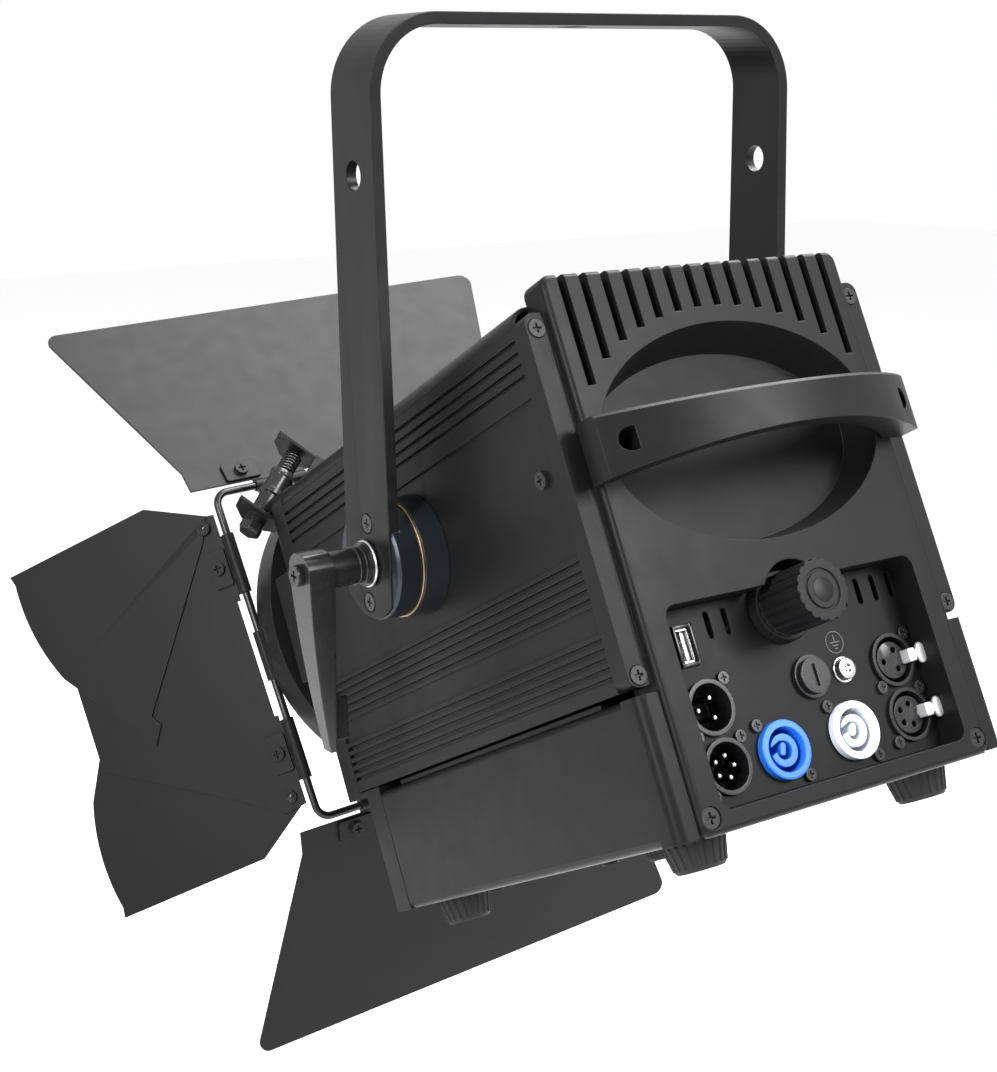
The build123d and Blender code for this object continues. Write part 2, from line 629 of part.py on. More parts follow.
XLR_SCREWS = [(x + d, z - d) for x, z in MALE + FEMALE for d in (-9.9, 9.9)]
POWER_SCREWS = [(x + 9.5 * d, z + 12 * d) for x, z in (INLET, OUTLET) for d in (-1, 1)]

with BuildPart() as panel_screws:
    add_screws(behind(PANEL_Y + 0.05), flip(XLR_SCREWS + POWER_SCREWS), 2.6, 1.4, 1.2, 0.04)
    add_screws(behind(PANEL_Y + 0.05), flip([EARTH]), 4.4, 3.0, 2.0, 0.04)
panel_screws.part.label = "panel_screws"
export_step(panel_screws.part, "parts/panel_screws.step")

with BuildPart() as usb_port:
    with BuildSketch(across(PANEL_Y + 0.6)):
        with Locations(USB):
            Rectangle(6.2, 13.2)
            Rectangle(5.0, 12.0, mode=Mode.SUBTRACT)
    extrude(amount=12)
    with BuildSketch(across(PANEL_Y - 1)):
        with Locations((USB[0] - 1.2, USB[1])):
            Rectangle(1.8, 11.0)
    extrude(amount=10.4)
    with BuildSketch(across(PANEL_Y - 11.4)):
        with Locations(USB):
            Rectangle(6.2, 13.2)
    extrude(amount=1)
usb_port.part.label = "usb_port"
export_step(usb_port.part, "parts/usb_port.step")

with BuildPart() as fuse_holder:
    with BuildSketch(behind(PANEL_Y)):
        with Locations((FUSE[0], -FUSE[1])):
            Circle(9.0)
            Circle(6.0, mode=Mode.SUBTRACT)
    extrude(amount=2.0)
    with BuildSketch(behind(PANEL_Y)):
        with Locations((FUSE[0], -FUSE[1])):
            Circle(7.0)
            Circle(6.0, mode=Mode.SUBTRACT)
    extrude(amount=-26)
fuse_holder.part.label = "fuse_holder"
export_step(fuse_holder.part, "parts/fuse_holder.step")

with BuildPart() as fuse_cap:
    with BuildSketch(behind(PANEL_Y - 10)):
        with Locations((FUSE[0], -FUSE[1])):
            Circle(5.95)
    extrude(amount=12.3)
    with BuildSketch(behind(PANEL_Y + 2.3)):
        with Locations((FUSE[0], -FUSE[1])):
            Circle(7.4)
    extrude(amount=1.8)
    with BuildSketch(behind(PANEL_Y + 4.1)):
        with Locations((FUSE[0], -FUSE[1])):
            Rectangle(1.5, 9)
    extrude(amount=-1.2, mode=Mode.SUBTRACT)
fuse_cap.part.label = "fuse_cap"
export_step(fuse_cap.part, "parts/fuse_cap.step")

with BuildPart() as zoom_knob:
    with BuildSketch(behind(PANEL_Y + 0.8)):
        with Locations((0, -KNOB_Z)):
            Circle(15.0)
    extrude(amount=4.5, taper=12)
    with BuildSketch(behind(PANEL_Y + 5.2)):
        with Locations((0, -KNOB_Z)):
            Circle(12.6)
            with PolarLocations(13.1, 18):
                Circle(1.2, mode=Mode.SUBTRACT)
    extrude(amount=KNOB_BACK - PANEL_Y - 5.2)
    with BuildSketch(behind(KNOB_BACK)):
        with Locations((0, -KNOB_Z)):
            Circle(8.6)
            Circle(7.4, mode=Mode.SUBTRACT)
    extrude(amount=-0.8, mode=Mode.SUBTRACT)
    with BuildSketch(behind(PANEL_Y + 0.8)):
        with Locations((0, -KNOB_Z)):
            Circle(ROD_R)
    extrude(amount=16, mode=Mode.SUBTRACT)
zoom_knob.part.label = "zoom_knob"
export_step(zoom_knob.part, "parts/zoom_knob.step")

with BuildPart() as zoom_spindle:
    with BuildSketch(behind(PANEL_Y + 16)):
        with Locations((0, -KNOB_Z)):
            Circle(ROD_R)
    extrude(amount=-PANEL_Y - 16 - 40)
    with BuildSketch(behind(PANEL_Y - SHEET - 0.5)):
        with Locations((0, -KNOB_Z)):
            Circle(ROD_R + 2.5)
    extrude(amount=-2)
zoom_spindle.part.label = "zoom_spindle"
export_step(zoom_spindle.part, "parts/zoom_spindle.step")

with BuildPart() as display_panel:
    with BuildSketch(beside(-CASE_HALF + SHEET)):
        with Locations((DISPLAY_Y, DISPLAY_Z)):
            RectangleRounded(DISPLAY_W - 0.2, DISPLAY_H - 0.2, 2.9)
    extrude(amount=-SHEET)
    with BuildSketch(beside(-CASE_HALF)):
        with Locations((DISPLAY_Y + 12, DISPLAY_Z)):
            Rectangle(50, 20)
    extrude(amount=0.8, mode=Mode.SUBTRACT)
    with BuildSketch(beside(-CASE_HALF)):
        with Locations((MENU_Y, DISPLAY_Z)):
            Circle(3 + RUN)
    extrude(amount=10, mode=Mode.SUBTRACT)
display_panel.part.label = "display_panel"
export_step(display_panel.part, "parts/display_panel.step")

with BuildPart() as menu_knob:
    with BuildSketch(beside(-CASE_HALF + 6)):
        with Locations((MENU_Y, DISPLAY_Z)):
            Circle(3)
    extrude(amount=-6.4)
    with BuildSketch(beside(-CASE_HALF - 0.4)):
        with Locations((MENU_Y, DISPLAY_Z)):
            Circle(7.5)
            with PolarLocations(MENU_R, 16):
                Circle(0.8, mode=Mode.SUBTRACT)
    extrude(amount=-5.4)
menu_knob.part.label = "menu_knob"
export_step(menu_knob.part, "parts/menu_knob.step")

# ---------------------------------------------------------------- optics and LED carriage

with BuildPart() as lens_holder:
    with BuildSketch(across(BEZEL_BACK + 0.1)):
        Circle(LENS_R + 8)
        with Locations((0, -5)):
            Rectangle(2 * LENS_R + 20, 136, mode=Mode.INTERSECT)
        Circle(APERTURE_R, mode=Mode.SUBTRACT)
    extrude(amount=-1.5)
    cut_holes(across(BEZEL_BACK - 1), [(ROD_X, ROD_Z), (-ROD_X, ROD_Z)], ROD_R + 1, 6)
lens_holder.part.label = "lens_holder"
export_step(lens_holder.part, "parts/lens_holder.step")

STEPS = 11
RIDGE = 5.5

with BuildPart() as fresnel_lens:
    with BuildSketch(placed(HEAD, Plane.XY)):
        with BuildLine():
            points = [(0, BEZEL_BACK - 0.2), (0, -121.0)]
            for i in range(1, STEPS):
                points.append((RIDGE * i, -117.4))
                points.append((RIDGE * i, -120.8))
            points.append((LENS_R, -116.6))
            points.append((LENS_R, BEZEL_BACK - 0.2))
            Polyline(*points, close=True)
        make_face()
    revolve(axis=Axis(HEAD.position, across(0).z_dir), revolution_arc=360)
fresnel_lens.part.label = "fresnel_lens"
export_step(fresnel_lens.part, "parts/fresnel_lens.step")

with BuildPart() as guide_rods:
    add_pins(across(COVER_FLOOR - 0.1), [(ROD_X, ROD_Z), (-ROD_X, ROD_Z)], ROD_R, COVER_FLOOR + 117.4)
guide_rods.part.label = "guide_rods"
export_step(guide_rods.part, "parts/guide_rods.step")

with BuildPart() as heat_sink:
    with BuildSketch(across(16)):
        Rectangle(120, 104)
        with Locations((0, -57)):
            Rectangle(130, 30)
    extrude(amount=10)
    with BuildSketch(across(56)):
        with GridLocations(6.3, 0, 18, 1):
            Rectangle(2.0, 96)
    extrude(amount=40)
    with BuildSketch(across(40)):
        with Locations((ROD_X, ROD_Z), (-ROD_X, ROD_Z), (0, KNOB_Z)):
            Circle(9)
    extrude(amount=34)
    cut_holes(across(60), [(ROD_X, ROD_Z), (-ROD_X, ROD_Z), (0, KNOB_Z)], ROD_R + RUN, -60)
heat_sink.part.label = "heat_sink"
export_step(heat_sink.part, "parts/heat_sink.step")

with BuildPart() as led_module:
    with BuildSketch(across(5.9)):
        Rectangle(56, 56)
    extrude(amount=2)
    with BuildSketch(across(3.9)):
        Circle(19)
    extrude(amount=1.6)
    with BuildSketch(across(3.9)):
        Circle(24)
        Circle(19.4, mode=Mode.SUBTRACT)
    extrude(amount=3.4)
led_module.part.label = "led_module"
export_step(led_module.part, "parts/led_module.step")

with BuildPart() as fan_frame:
    with BuildSketch(across(FAN_Y)) as frame_outline:
        RectangleRounded(92, 92, 4)
        Circle(43.5, mode=Mode.SUBTRACT)
        with GridLocations(82.5, 82.5, 2, 2):
            Circle(2.2, mode=Mode.SUBTRACT)
    extrude(amount=FAN_Y - 56.1)
    with BuildSketch(across(FAN_Y)):
        Circle(17)
        with PolarLocations(30, 4, 20):
            Rectangle(30, 3.2)
    extrude(amount=2.4)
fan_frame.part.label = "fan_frame"
export_step(fan_frame.part, "parts/fan_frame.step")

with BuildPart() as fan_rotor:
    with BuildSketch(across(FAN_Y - 3.0)):
        Circle(18)
    extrude(amount=20)
    for i in range(7):
        blade = Plane(HEAD * Location((0, FAN_Y - 13, 0), (0, 360 / 7 * i, 0)))
        with BuildSketch(blade.offset(17)):
            Rectangle(21, 2.0, rotation=32)
        extrude(amount=25)
fan_rotor.part.label = "fan_rotor"
export_step(fan_rotor.part, "parts/fan_rotor.step")

with BuildPart() as power_supply:
    with BuildSketch(level(-108)):
        with Locations((-14, 4)):
            Rectangle(96, 150)
    extrude(amount=-37)
    with BuildSketch(level(-108)):
        with Locations((-14, 4)):
            with GridLocations(10, 12, 8, 11):
                SlotOverall(8, 4)
    extrude(amount=-2, mode=Mode.SUBTRACT)
power_supply.part.label = "power_supply"
export_step(power_supply.part, "parts/power_supply.step")

# ---------------------------------------------------------------- accessory holder

CHANNELS = ((0, 84.0), (180, 84.0), (270, 84.0))

with BuildPart() as accessory_brackets:
    for turn, reach in CHANNELS:
        spot = Plane(across(BEZEL_FRONT - 0.1).location * Location((0, 0, 0), (0, 0, turn)))
        with BuildSketch(spot):
            with Locations((reach + 1, 0)):
                Rectangle(2, 54)
        extrude(amount=16)
        for low, thick in ((6.4, 1.5), (14.0, 2.0)):
            with BuildSketch(spot.offset(low)):
                with Locations((reach - 1.2, 0)):
                    Rectangle(6.4, 54)
            extrude(amount=thick)
        with BuildSketch(spot):
            with Locations((reach - 3, 0)):
                Rectangle(8, 54)
        extrude(amount=1.5)
accessory_brackets.part.label = "accessory_brackets"
export_step(accessory_brackets.part, "parts/accessory_brackets.step")

EAR_Z = 21.2

with BuildPart() as clip_bracket:
    with BuildSketch(placed(CLIP, Plane.XZ.offset(8.4))):
        with Locations((-19.5, 0)):
            Rectangle(23, 2 * EAR_Z + 1.6)
    extrude(amount=1.5)
    for z in (EAR_Z - 0.8, -EAR_Z - 0.8):
        with BuildSketch(placed(CLIP, Plane.XY.offset(z))) as plate:
            with BuildLine():
                Polyline((-12, -8.4), (14, -8.4), (12, 2), (5, 10), (-6, 10), (-12, 2), close=True)
            make_face()
            fillet(plate.vertices().group_by(Axis.Y)[-1], 3)
            with Locations((11.0, -5.4)):
                Circle(1.3, mode=Mode.SUBTRACT)
        extrude(amount=1.6)
    with BuildSketch(placed(CLIP, Plane.XY.offset(EAR_Z + 5))):
        Circle(2.5)
    extrude(amount=-2 * EAR_Z - 7)
    with BuildSketch(placed(CLIP, Plane.XY.offset(EAR_Z + 0.8))):
        Circle(5)
    extrude(amount=4)
clip_bracket.part.label = "clip_bracket"
export_step(clip_bracket.part, "parts/clip_bracket.step")

with BuildPart() as clip_spring:
    with BuildLine() as coil:
        Helix(pitch=1.7, height=10.2, radius=4.0)
    with BuildSketch(Plane(origin=coil.line @ 0, z_dir=coil.line % 0)):
        Circle(0.65)
    sweep()
spring = CLIP * Location((0, 0, -EAR_Z + 2.2)) * clip_spring.part
spring.label = "clip_spring"
export_step(spring, "parts/clip_spring.step")

with BuildPart() as retaining_clip:
    with BuildSketch(placed(CLIP, Plane.XY.offset(-7.0))):
        Circle(4.6)
        with Locations((-12.75, 3.35)):
            Rectangle(25.5, 1.5)
        Circle(2.5 + RUN, mode=Mode.SUBTRACT)
    extrude(amount=26)
retaining_clip.part.label = "retaining_clip"
export_step(retaining_clip.part, "parts/retaining_clip.step")

# ---------------------------------------------------------------- barndoor ring and rod

with BuildPart() as door_ring:
    with BuildSketch(placed(DOOR, Plane.XY.offset(-RING_DEPTH))):
        Circle(RING_R)
        Circle(RING_R - 1.5, mode=Mode.SUBTRACT)
    extrude(amount=RING_DEPTH - 2.6)
    with BuildSketch(placed(DOOR, Plane.XY.offset(-RING_DEPTH))):
        Circle(RING_R)
        Circle(NECK_R - 1.5, mode=Mode.SUBTRACT)
    extrude(amount=1.5)
    with BuildSketch(placed(DOOR, Plane.XY.offset(-RING_DEPTH - NECK_LENGTH))):
        Circle(NECK_R)
        Circle(NECK_R - 1.5, mode=Mode.SUBTRACT)
    extrude(amount=NECK_LENGTH)
    with BuildSketch(placed(DOOR, Plane.XY.offset(-RING_DEPTH - NECK_LENGTH))):
        Circle(FLANGE_R)
        Circle(NECK_R - 1.5, mode=Mode.SUBTRACT)
    extrude(amount=1.5)
    for turn in range(0, 360, 90):
        side = Plane(DOOR * Location((0, 0, 0), (0, 0, turn)) * Location((ROD_HALF, -13, 0), (-90, 0, 0)))
        with BuildSketch(side):
            Circle(WIRE_R + 1.3)
            with Locations((0.2, 4.5)):
                Rectangle(3, 9)
            Circle(WIRE_R + RUN, mode=Mode.SUBTRACT)
        extrude(amount=26)
door_ring.part.label = "door_ring"
export_step(door_ring.part, "parts/door_ring.step")

with BuildPart() as door_rod:
    with BuildLine(Plane(DOOR)) as loop:
        FilletPolyline(
            (-ROD_HALF, -ROD_HALF),
            (ROD_HALF, -ROD_HALF),
            (ROD_HALF, ROD_HALF),
            (-ROD_HALF, ROD_HALF),
            radius=7,
            close=True,
        )
    with BuildSketch(Plane(origin=loop.line @ 0, z_dir=loop.line % 0)):
        Circle(WIRE_R)
    sweep()
door_rod.part.label = "door_rod"
export_step(door_rod.part, "parts/door_rod.step")

# ---------------------------------------------------------------- leaves


def leaf_frame(turn, angle):
    """Frame of a leaf: X out along the sheet from its rod, Y along the rod, Z toward the beam."""
    return DOOR * Location((0, 0, 0), (0, 0, turn)) * Location((ROD_HALF, 0, 0), (0, -angle, 0))


def add_knuckles(frame, near, far):
    """Rolled knuckles that hold a leaf on its rod."""
    for start in (near, -far):
        knuckle = Plane(frame * Location((0, start, 0), (-90, 0, 0)))
        with BuildSketch(knuckle) as profile:
            Circle(WIRE_R + 1.2)
            with Locations((3, 0)):
                Rectangle(6, LEAF_T)
            Circle(WIRE_R + RUN, mode=Mode.SUBTRACT)
        extrude(profile.sketch, amount=far - near)


def clip_pieces(frame, spots):
    """Clamping plates under a leaf with a screw through each."""
    face = Plane(frame * Location((0, 0, -LEAF_T / 2 - 0.05), (180, 0, 0)))
    with BuildSketch(face) as profile:
        with Locations(*spots):
            RectangleRounded(11, 20, 1.5)
    extrude(profile.sketch, amount=1.4)
    add_screws(face.offset(1.4), spots, 3.6, 2.0, 1.5, 1.3)


WIDE_LEAVES = (("top_leaf", 90, WIDE_ANGLE_TOP), ("bottom_leaf", 270, WIDE_ANGLE_LOW))
SIDE_LEAVES = (("left_leaf", 0, SIDE_ANGLE), ("right_leaf", 180, SIDE_ANGLE))

for name, turn, angle in WIDE_LEAVES:
    frame = leaf_frame(turn, angle)
    with BuildPart() as leaf:
        with BuildSketch(Plane(frame * Location((0, 0, -LEAF_T / 2)))) as sheet:
            with BuildLine():
                Polyline((4.0, -99.5), (16, -99.5), (117, -137), (117, 137), (16, 99.5), (4.0, 99.5), close=True)
            make_face()
            fillet(sheet.vertices().group_by(Axis.X)[-1], 6)
            with Locations((4, 0)):
                Rectangle(4, 62, mode=Mode.SUBTRACT)
        extrude(amount=LEAF_T)
        add_knuckles(frame, 34, 64)
    leaf.part.label = name
    export_step(leaf.part, f"parts/{name}.step")
    with BuildPart() as clips:
        clip_pieces(frame, [(10.5, 68), (10.5, -68)])
    clips.part.label = f"{name}_clips"
    export_step(clips.part, f"parts/{name}_clips.step")

for name, turn, angle in SIDE_LEAVES:
    frame = leaf_frame(turn, angle)
    with BuildPart() as leaf:
        with BuildSketch(Plane(frame * Location((0, 0, -LEAF_T / 2)))) as sheet:
            with BuildLine():
                Polyline((4, -78), (16, -80), (38, -66), (105, -28), (105, 28), (38, 66), (16, 80), (4, 78), close=True)
            make_face()
            with Locations((4, 0)):
                Rectangle(4, 62, mode=Mode.SUBTRACT)
        extrude(amount=LEAF_T)
        add_knuckles(frame, 34, 66)
        for t in (WING_PIVOT[1], -WING_PIVOT[1]):
            cut_holes(Plane(frame * Location((WING_PIVOT[0], t, 5))), [(0, 0)], WING_PIN_R + RUN, 10)
    leaf.part.label = name
    export_step(leaf.part, f"parts/{name}.step")
    with BuildPart() as clips:
        clip_pieces(frame, [(9.5, 50), (9.5, -50)])
    clips.part.label = f"{name}_clips"
    export_step(clips.part, f"parts/{name}_clips.step")
    for end, face, swing in ((1, -1, 0.0), (-1, 1, LOW_WING_SWING)):
        pivot = Location((WING_PIVOT[0], end * WING_PIVOT[1], 0))
        flat = Location((0, 0, 0), (0, 0, swing * end))
        flip_y = Location((0, 0, 0), (0 if end > 0 else 180, 0, 0))
        wing_frame = frame * pivot * flat * flip_y
        rise = face * end * (LEAF_T / 2 + GAP)
        with BuildPart() as wing:
            with BuildSketch(Plane(wing_frame * Location((0, 0, rise)))) as fan:
                with BuildLine():
                    Polyline((-3, 6), polar(35.2, 36.6), polar(112, 6.6), polar(WING_R, 4))
                    ThreePointArc(polar(WING_R, 4), polar(WING_R, -11), polar(WING_R, -26))
                    Polyline(polar(WING_R, -26), polar(115, -58), polar(104, -58), polar(101, -54.5), (3, -7), (-3, 6))
                make_face()
            extrude(amount=0.8 * face * end)
            wing_face = Plane(wing_frame * Location((0, 0, rise + 0.8 * face * end)))
            with BuildSketch(wing_face):
                Circle(3.6)
            extrude(amount=1.4 * face * end)
            with BuildSketch(wing_face):
                Circle(WING_PIN_R)
            extrude(amount=-(LEAF_T + GAP + 2.0) * face * end)
            with BuildSketch(Plane(wing_frame * Location((0, 0, -(LEAF_T / 2 + GAP) * face * end)))):
                Circle(3.4)
            extrude(amount=-1.0 * face * end)
        label = f"{name.split('_')[0]}_{'upper' if end > 0 else 'lower'}_wing"
        wing.part.label = label
        export_step(wing.part, f"parts/{label}.step")
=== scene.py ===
"""Finishes and fine detail for a hanging theatre spotlight with folding doors.

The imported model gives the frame: its bodies, nodes and joints. Each operator finishes one group of its pieces
or adds the small pieces that sit on them, and the last one sets the stage, the lights and the camera.
"""

import json
from math import cos, pi, radians, sin

import bmesh
import bpy
from bpy.props import FloatProperty, FloatVectorProperty, IntProperty, PointerProperty
from mathutils import Matrix, Vector


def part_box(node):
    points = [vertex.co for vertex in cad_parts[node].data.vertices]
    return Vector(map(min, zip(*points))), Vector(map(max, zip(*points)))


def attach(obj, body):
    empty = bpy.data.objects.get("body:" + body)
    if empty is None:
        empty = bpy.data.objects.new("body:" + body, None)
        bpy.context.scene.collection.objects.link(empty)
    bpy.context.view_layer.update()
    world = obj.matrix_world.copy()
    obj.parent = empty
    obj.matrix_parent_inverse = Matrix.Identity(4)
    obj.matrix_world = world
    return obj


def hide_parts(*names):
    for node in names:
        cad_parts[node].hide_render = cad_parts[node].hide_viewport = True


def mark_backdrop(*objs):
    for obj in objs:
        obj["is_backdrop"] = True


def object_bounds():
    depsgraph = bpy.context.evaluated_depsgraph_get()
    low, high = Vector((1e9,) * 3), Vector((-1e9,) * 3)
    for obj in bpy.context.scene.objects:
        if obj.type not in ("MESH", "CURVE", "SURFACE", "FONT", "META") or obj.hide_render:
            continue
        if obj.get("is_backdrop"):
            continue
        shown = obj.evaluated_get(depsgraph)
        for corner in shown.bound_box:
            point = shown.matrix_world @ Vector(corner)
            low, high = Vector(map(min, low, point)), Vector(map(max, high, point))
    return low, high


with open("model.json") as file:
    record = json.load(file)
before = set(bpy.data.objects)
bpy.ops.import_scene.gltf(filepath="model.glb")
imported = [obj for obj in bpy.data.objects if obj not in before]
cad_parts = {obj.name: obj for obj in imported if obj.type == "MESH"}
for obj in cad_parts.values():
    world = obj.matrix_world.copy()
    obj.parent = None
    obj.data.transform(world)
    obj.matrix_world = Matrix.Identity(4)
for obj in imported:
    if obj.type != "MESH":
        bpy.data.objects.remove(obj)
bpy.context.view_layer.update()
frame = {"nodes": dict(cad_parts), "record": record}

bl_info = {
    "name": "Theatre Spotlight",
    "version": (1, 0, 0),
    "blender": (4, 5, 0),
    "location": "View3D > Sidebar > Spotlight",
    "description": "Finishes a theatre spotlight with its yoke, doors, sockets and knobs",
    "category": "Object",
}

MM = 0.001
JOINTS = {joint["name"]: joint for joint in frame["record"]["behaviour"]["joints"]}
BODY_OF = {node: body for body, nodes in frame["record"]["behaviour"]["bodies"].items() for node in nodes}
PIVOT = Vector(JOINTS["head_tilt"]["pos_m"])

# nodes whose edges are rounded, with the widths in millimetres
CASE_EDGES = {
    "front_bezel": 1.6,
    "left_side_panel": 0.35,
    "right_side_panel": 0.35,
    "roof_panel": 0.5,
    "base_tray": 0.9,
    "back_cover": 0.9,
    "carry_handle": 2.4,
    "connector_panel": 0.3,
}
HOLDER_EDGES = {"door_ring": 0.3, "accessory_brackets": 0.3, "clip_bracket": 0.35, "retaining_clip": 0.3}
SHELL_NODES = ("xlr_male_sockets", "xlr_female_sockets", "fuse_holder", "fuse_cap")
DOOR_SHEETS = (
    "top_leaf",
    "bottom_leaf",
    "left_leaf",
    "right_leaf",
    "left_upper_wing",
    "left_lower_wing",
    "right_upper_wing",
    "right_lower_wing",
)
LEAF_CLIPS = ("top_leaf_clips", "bottom_leaf_clips", "left_leaf_clips", "right_leaf_clips")
WING_BODIES = ("wing_left_upper", "wing_left_lower", "wing_right_upper", "wing_right_lower")

# places on the back panel, in the head's frame: X across, Z up, in millimetres
MALE_SOCKETS = ((46.8, -101.3, 3), (46.8, -124.6, 5))
FEMALE_SOCKETS = ((-50.9, -101.0, 3), (-50.9, -124.3, 5))
POWER_SOCKETS = ((18.4, -124.5), (-19.1, -124.5))
EARTH_MARK = (-24.0, -88.2)
PANEL_Y = 117.2
FOOT_SPOTS = ((60.0, 101.0), (-60.0, 101.0), (60.0, -87.0), (-60.0, -87.0))
KNOB_Z = -69.3
KNOB_FACE_Y = 146.7
EARTH_SCREW = (-24.0, -99.8)
FOOT_SEAT_Z = -147.3
PIN_ROOT_Y = PANEL_Y - 13
PIN_CIRCLE = 4.6
# length from each pin's root that is painted dark as shade inside its socket; beyond it the tip keeps its
# bright steel
PIN_SHADE_LENGTH = 11.6
POWER_RIM = ((8.9, -0.2), (8.9, 2.9), (9.2, 3.35), (11.3, 3.35), (11.9, 2.8), (11.95, 0.1))

# the camera: its place in the row frame and its own axes
CAMERA_PLACE = (0.46977, 0.64704, -0.03245)
CAMERA_RIGHT = (-0.82595, 0.56352, -0.01582)
CAMERA_UP = (-0.16208, -0.21049, 0.96407)
CAMERA_BACK = (0.53994, 0.79884, 0.26519)


def head_matrix():
    """The tilted head's own frame: X across, Y to the back, Z up through its roof."""
    back = Vector(JOINTS["zoom_slide"]["axis"]).normalized()
    across = Vector((1, 0, 0))
    up = across.cross(back)
    turn = Matrix((across, back, up)).transposed().to_4x4()
    return Matrix.Translation(PIVOT) @ turn


HEAD = head_matrix()


def on_head(x, y, z):
    """A place in the head's frame, given in millimetres, as a matrix whose Z points out of the back."""
    facing_back = Matrix(((1, 0, 0), (0, 0, 1), (0, -1, 0))).to_4x4()
    return HEAD @ Matrix.Translation(Vector((x, y, z)) * MM) @ facing_back


def joint_matrix(name):
    """A frame on a hinge: Z along its axis, at its place."""
    joint = JOINTS[name]
    turn = Vector(joint["axis"]).to_track_quat("Z", "Y").to_matrix().to_4x4()
    return Matrix.Translation(Vector(joint["pos_m"])) @ turn


# ---------------------------------------------------------------- materials


def node_tree(name):
    """A new material with a Principled shader, its tree and the object coordinates."""
    material = bpy.data.materials.new(name)
    material.use_nodes = True
    tree = material.node_tree
    shader = tree.nodes["Principled BSDF"]
    coords = tree.nodes.new("ShaderNodeTexCoord")
    coords.location = (-1400, 0)
    return material, tree, shader, coords.outputs["Object"]


def noise(tree, coords, scale, detail, place):
    """A noise texture on the object coordinates."""
    texture = tree.nodes.new("ShaderNodeTexNoise")
    texture.location = place
    texture.inputs["Scale"].default_value = scale
    texture.inputs["Detail"].default_value = detail
    tree.links.new(coords, texture.inputs["Vector"])
    return texture.outputs["Fac"]


def remap(tree, value, low, high, out_low, out_high, place):
    """A value mapped from one range to another and clamped."""
    node = tree.nodes.new("ShaderNodeMapRange")
    node.location = place
    node.inputs["From Min"].default_value = low
    node.inputs["From Max"].default_value = high
    node.inputs["To Min"].default_value = out_low
    node.inputs["To Max"].default_value = out_high
    tree.links.new(value, node.inputs["Value"])
    return node.outputs["Result"]


def mixed(tree, factor, first, second, place):
    """Two colours mixed by a factor."""
    node = tree.nodes.new("ShaderNodeMix")
    node.data_type = "RGBA"
    node.location = place
    tree.links.new(factor, node.inputs["Factor"])
    for socket, colour in ((node.inputs["A"], first), (node.inputs["B"], second)):
        if isinstance(colour, bpy.types.NodeSocket):
            tree.links.new(colour, socket)
        else:
            socket.default_value = (*colour, 1.0)
    return node.outputs["Result"]


def edge_mask(tree, width, place):
    """White along the edges, from the angle between a rounded normal and the face's own."""
    bevel = tree.nodes.new("ShaderNodeBevel")
    bevel.samples = 4
    bevel.inputs["Radius"].default_value = width
    bevel.location = place
    geometry = tree.nodes.new("ShaderNodeNewGeometry")
    geometry.location = (place[0], place[1] - 200)
    dot = tree.nodes.new("ShaderNodeVectorMath")
    dot.operation = "DOT_PRODUCT"
    dot.location = (place[0] + 200, place[1])
    tree.links.new(bevel.outputs["Normal"], dot.inputs[0])
    tree.links.new(geometry.outputs["True Normal"], dot.inputs[1])
    mask = remap(tree, dot.outputs["Value"], 0.985, 0.85, 0.0, 1.0, (place[0] + 400, place[1]))
    return mask, bevel.outputs["Normal"]


def surface(
    name,
    colour,
    rough,
    metal=0.0,
    grain=900.0,
    bump=0.1,
    wear=0.35,
    wear_colour=None,
    coat=0.0,
    spread=0.1,
    shine=0.5,
):
    """A finish with fine grain, slightly uneven colour and gloss, and lighter worn edges."""
    material, tree, shader, coords = node_tree(name)
    clouds = noise(tree, coords, 14.0, 5.0, (-1200, 300))
    fine = noise(tree, coords, grain, 2.0, (-1200, -300))
    scuffs = noise(tree, coords, 95.0, 8.0, (-1200, 0))
    dark = [channel * (1 - spread) for channel in colour]
    light = [min(1.0, channel * (1 + spread)) for channel in colour]
    body = mixed(tree, clouds, dark, light, (-900, 300))
    mask, rounded = edge_mask(tree, 0.0006, (-1000, 700))
    patchy = remap(tree, scuffs, 0.35, 0.65, 0.0, wear, (-900, 0))
    product = tree.nodes.new("ShaderNodeMath")
    product.operation = "MULTIPLY"
    product.location = (-500, 500)
    tree.links.new(mask, product.inputs[0])
    tree.links.new(patchy, product.inputs[1])
    worn = wear_colour or [min(1.0, channel * 2.5 + 0.03) for channel in colour]
    tint = mixed(tree, product.outputs["Value"], body, worn, (-300, 300))
    tree.links.new(tint, shader.inputs["Base Color"])
    gloss = remap(tree, scuffs, 0.3, 0.7, max(0.03, rough - 0.03), min(1.0, rough + 0.04), (-600, -50))
    tree.links.new(gloss, shader.inputs["Roughness"])
    relief = tree.nodes.new("ShaderNodeBump")
    relief.location = (-300, -300)
    relief.inputs["Strength"].default_value = bump
    relief.inputs["Distance"].default_value = 0.0002
    tree.links.new(fine, relief.inputs["Height"])
    tree.links.new(rounded, relief.inputs["Normal"])
    tree.links.new(relief.outputs["Normal"], shader.inputs["Normal"])
    shader.inputs["Metallic"].default_value = metal
    shader.inputs["Specular IOR Level"].default_value = shine
    shader.inputs["Coat Weight"].default_value = coat
    shader.inputs["Coat Roughness"].default_value = 0.15
    return material


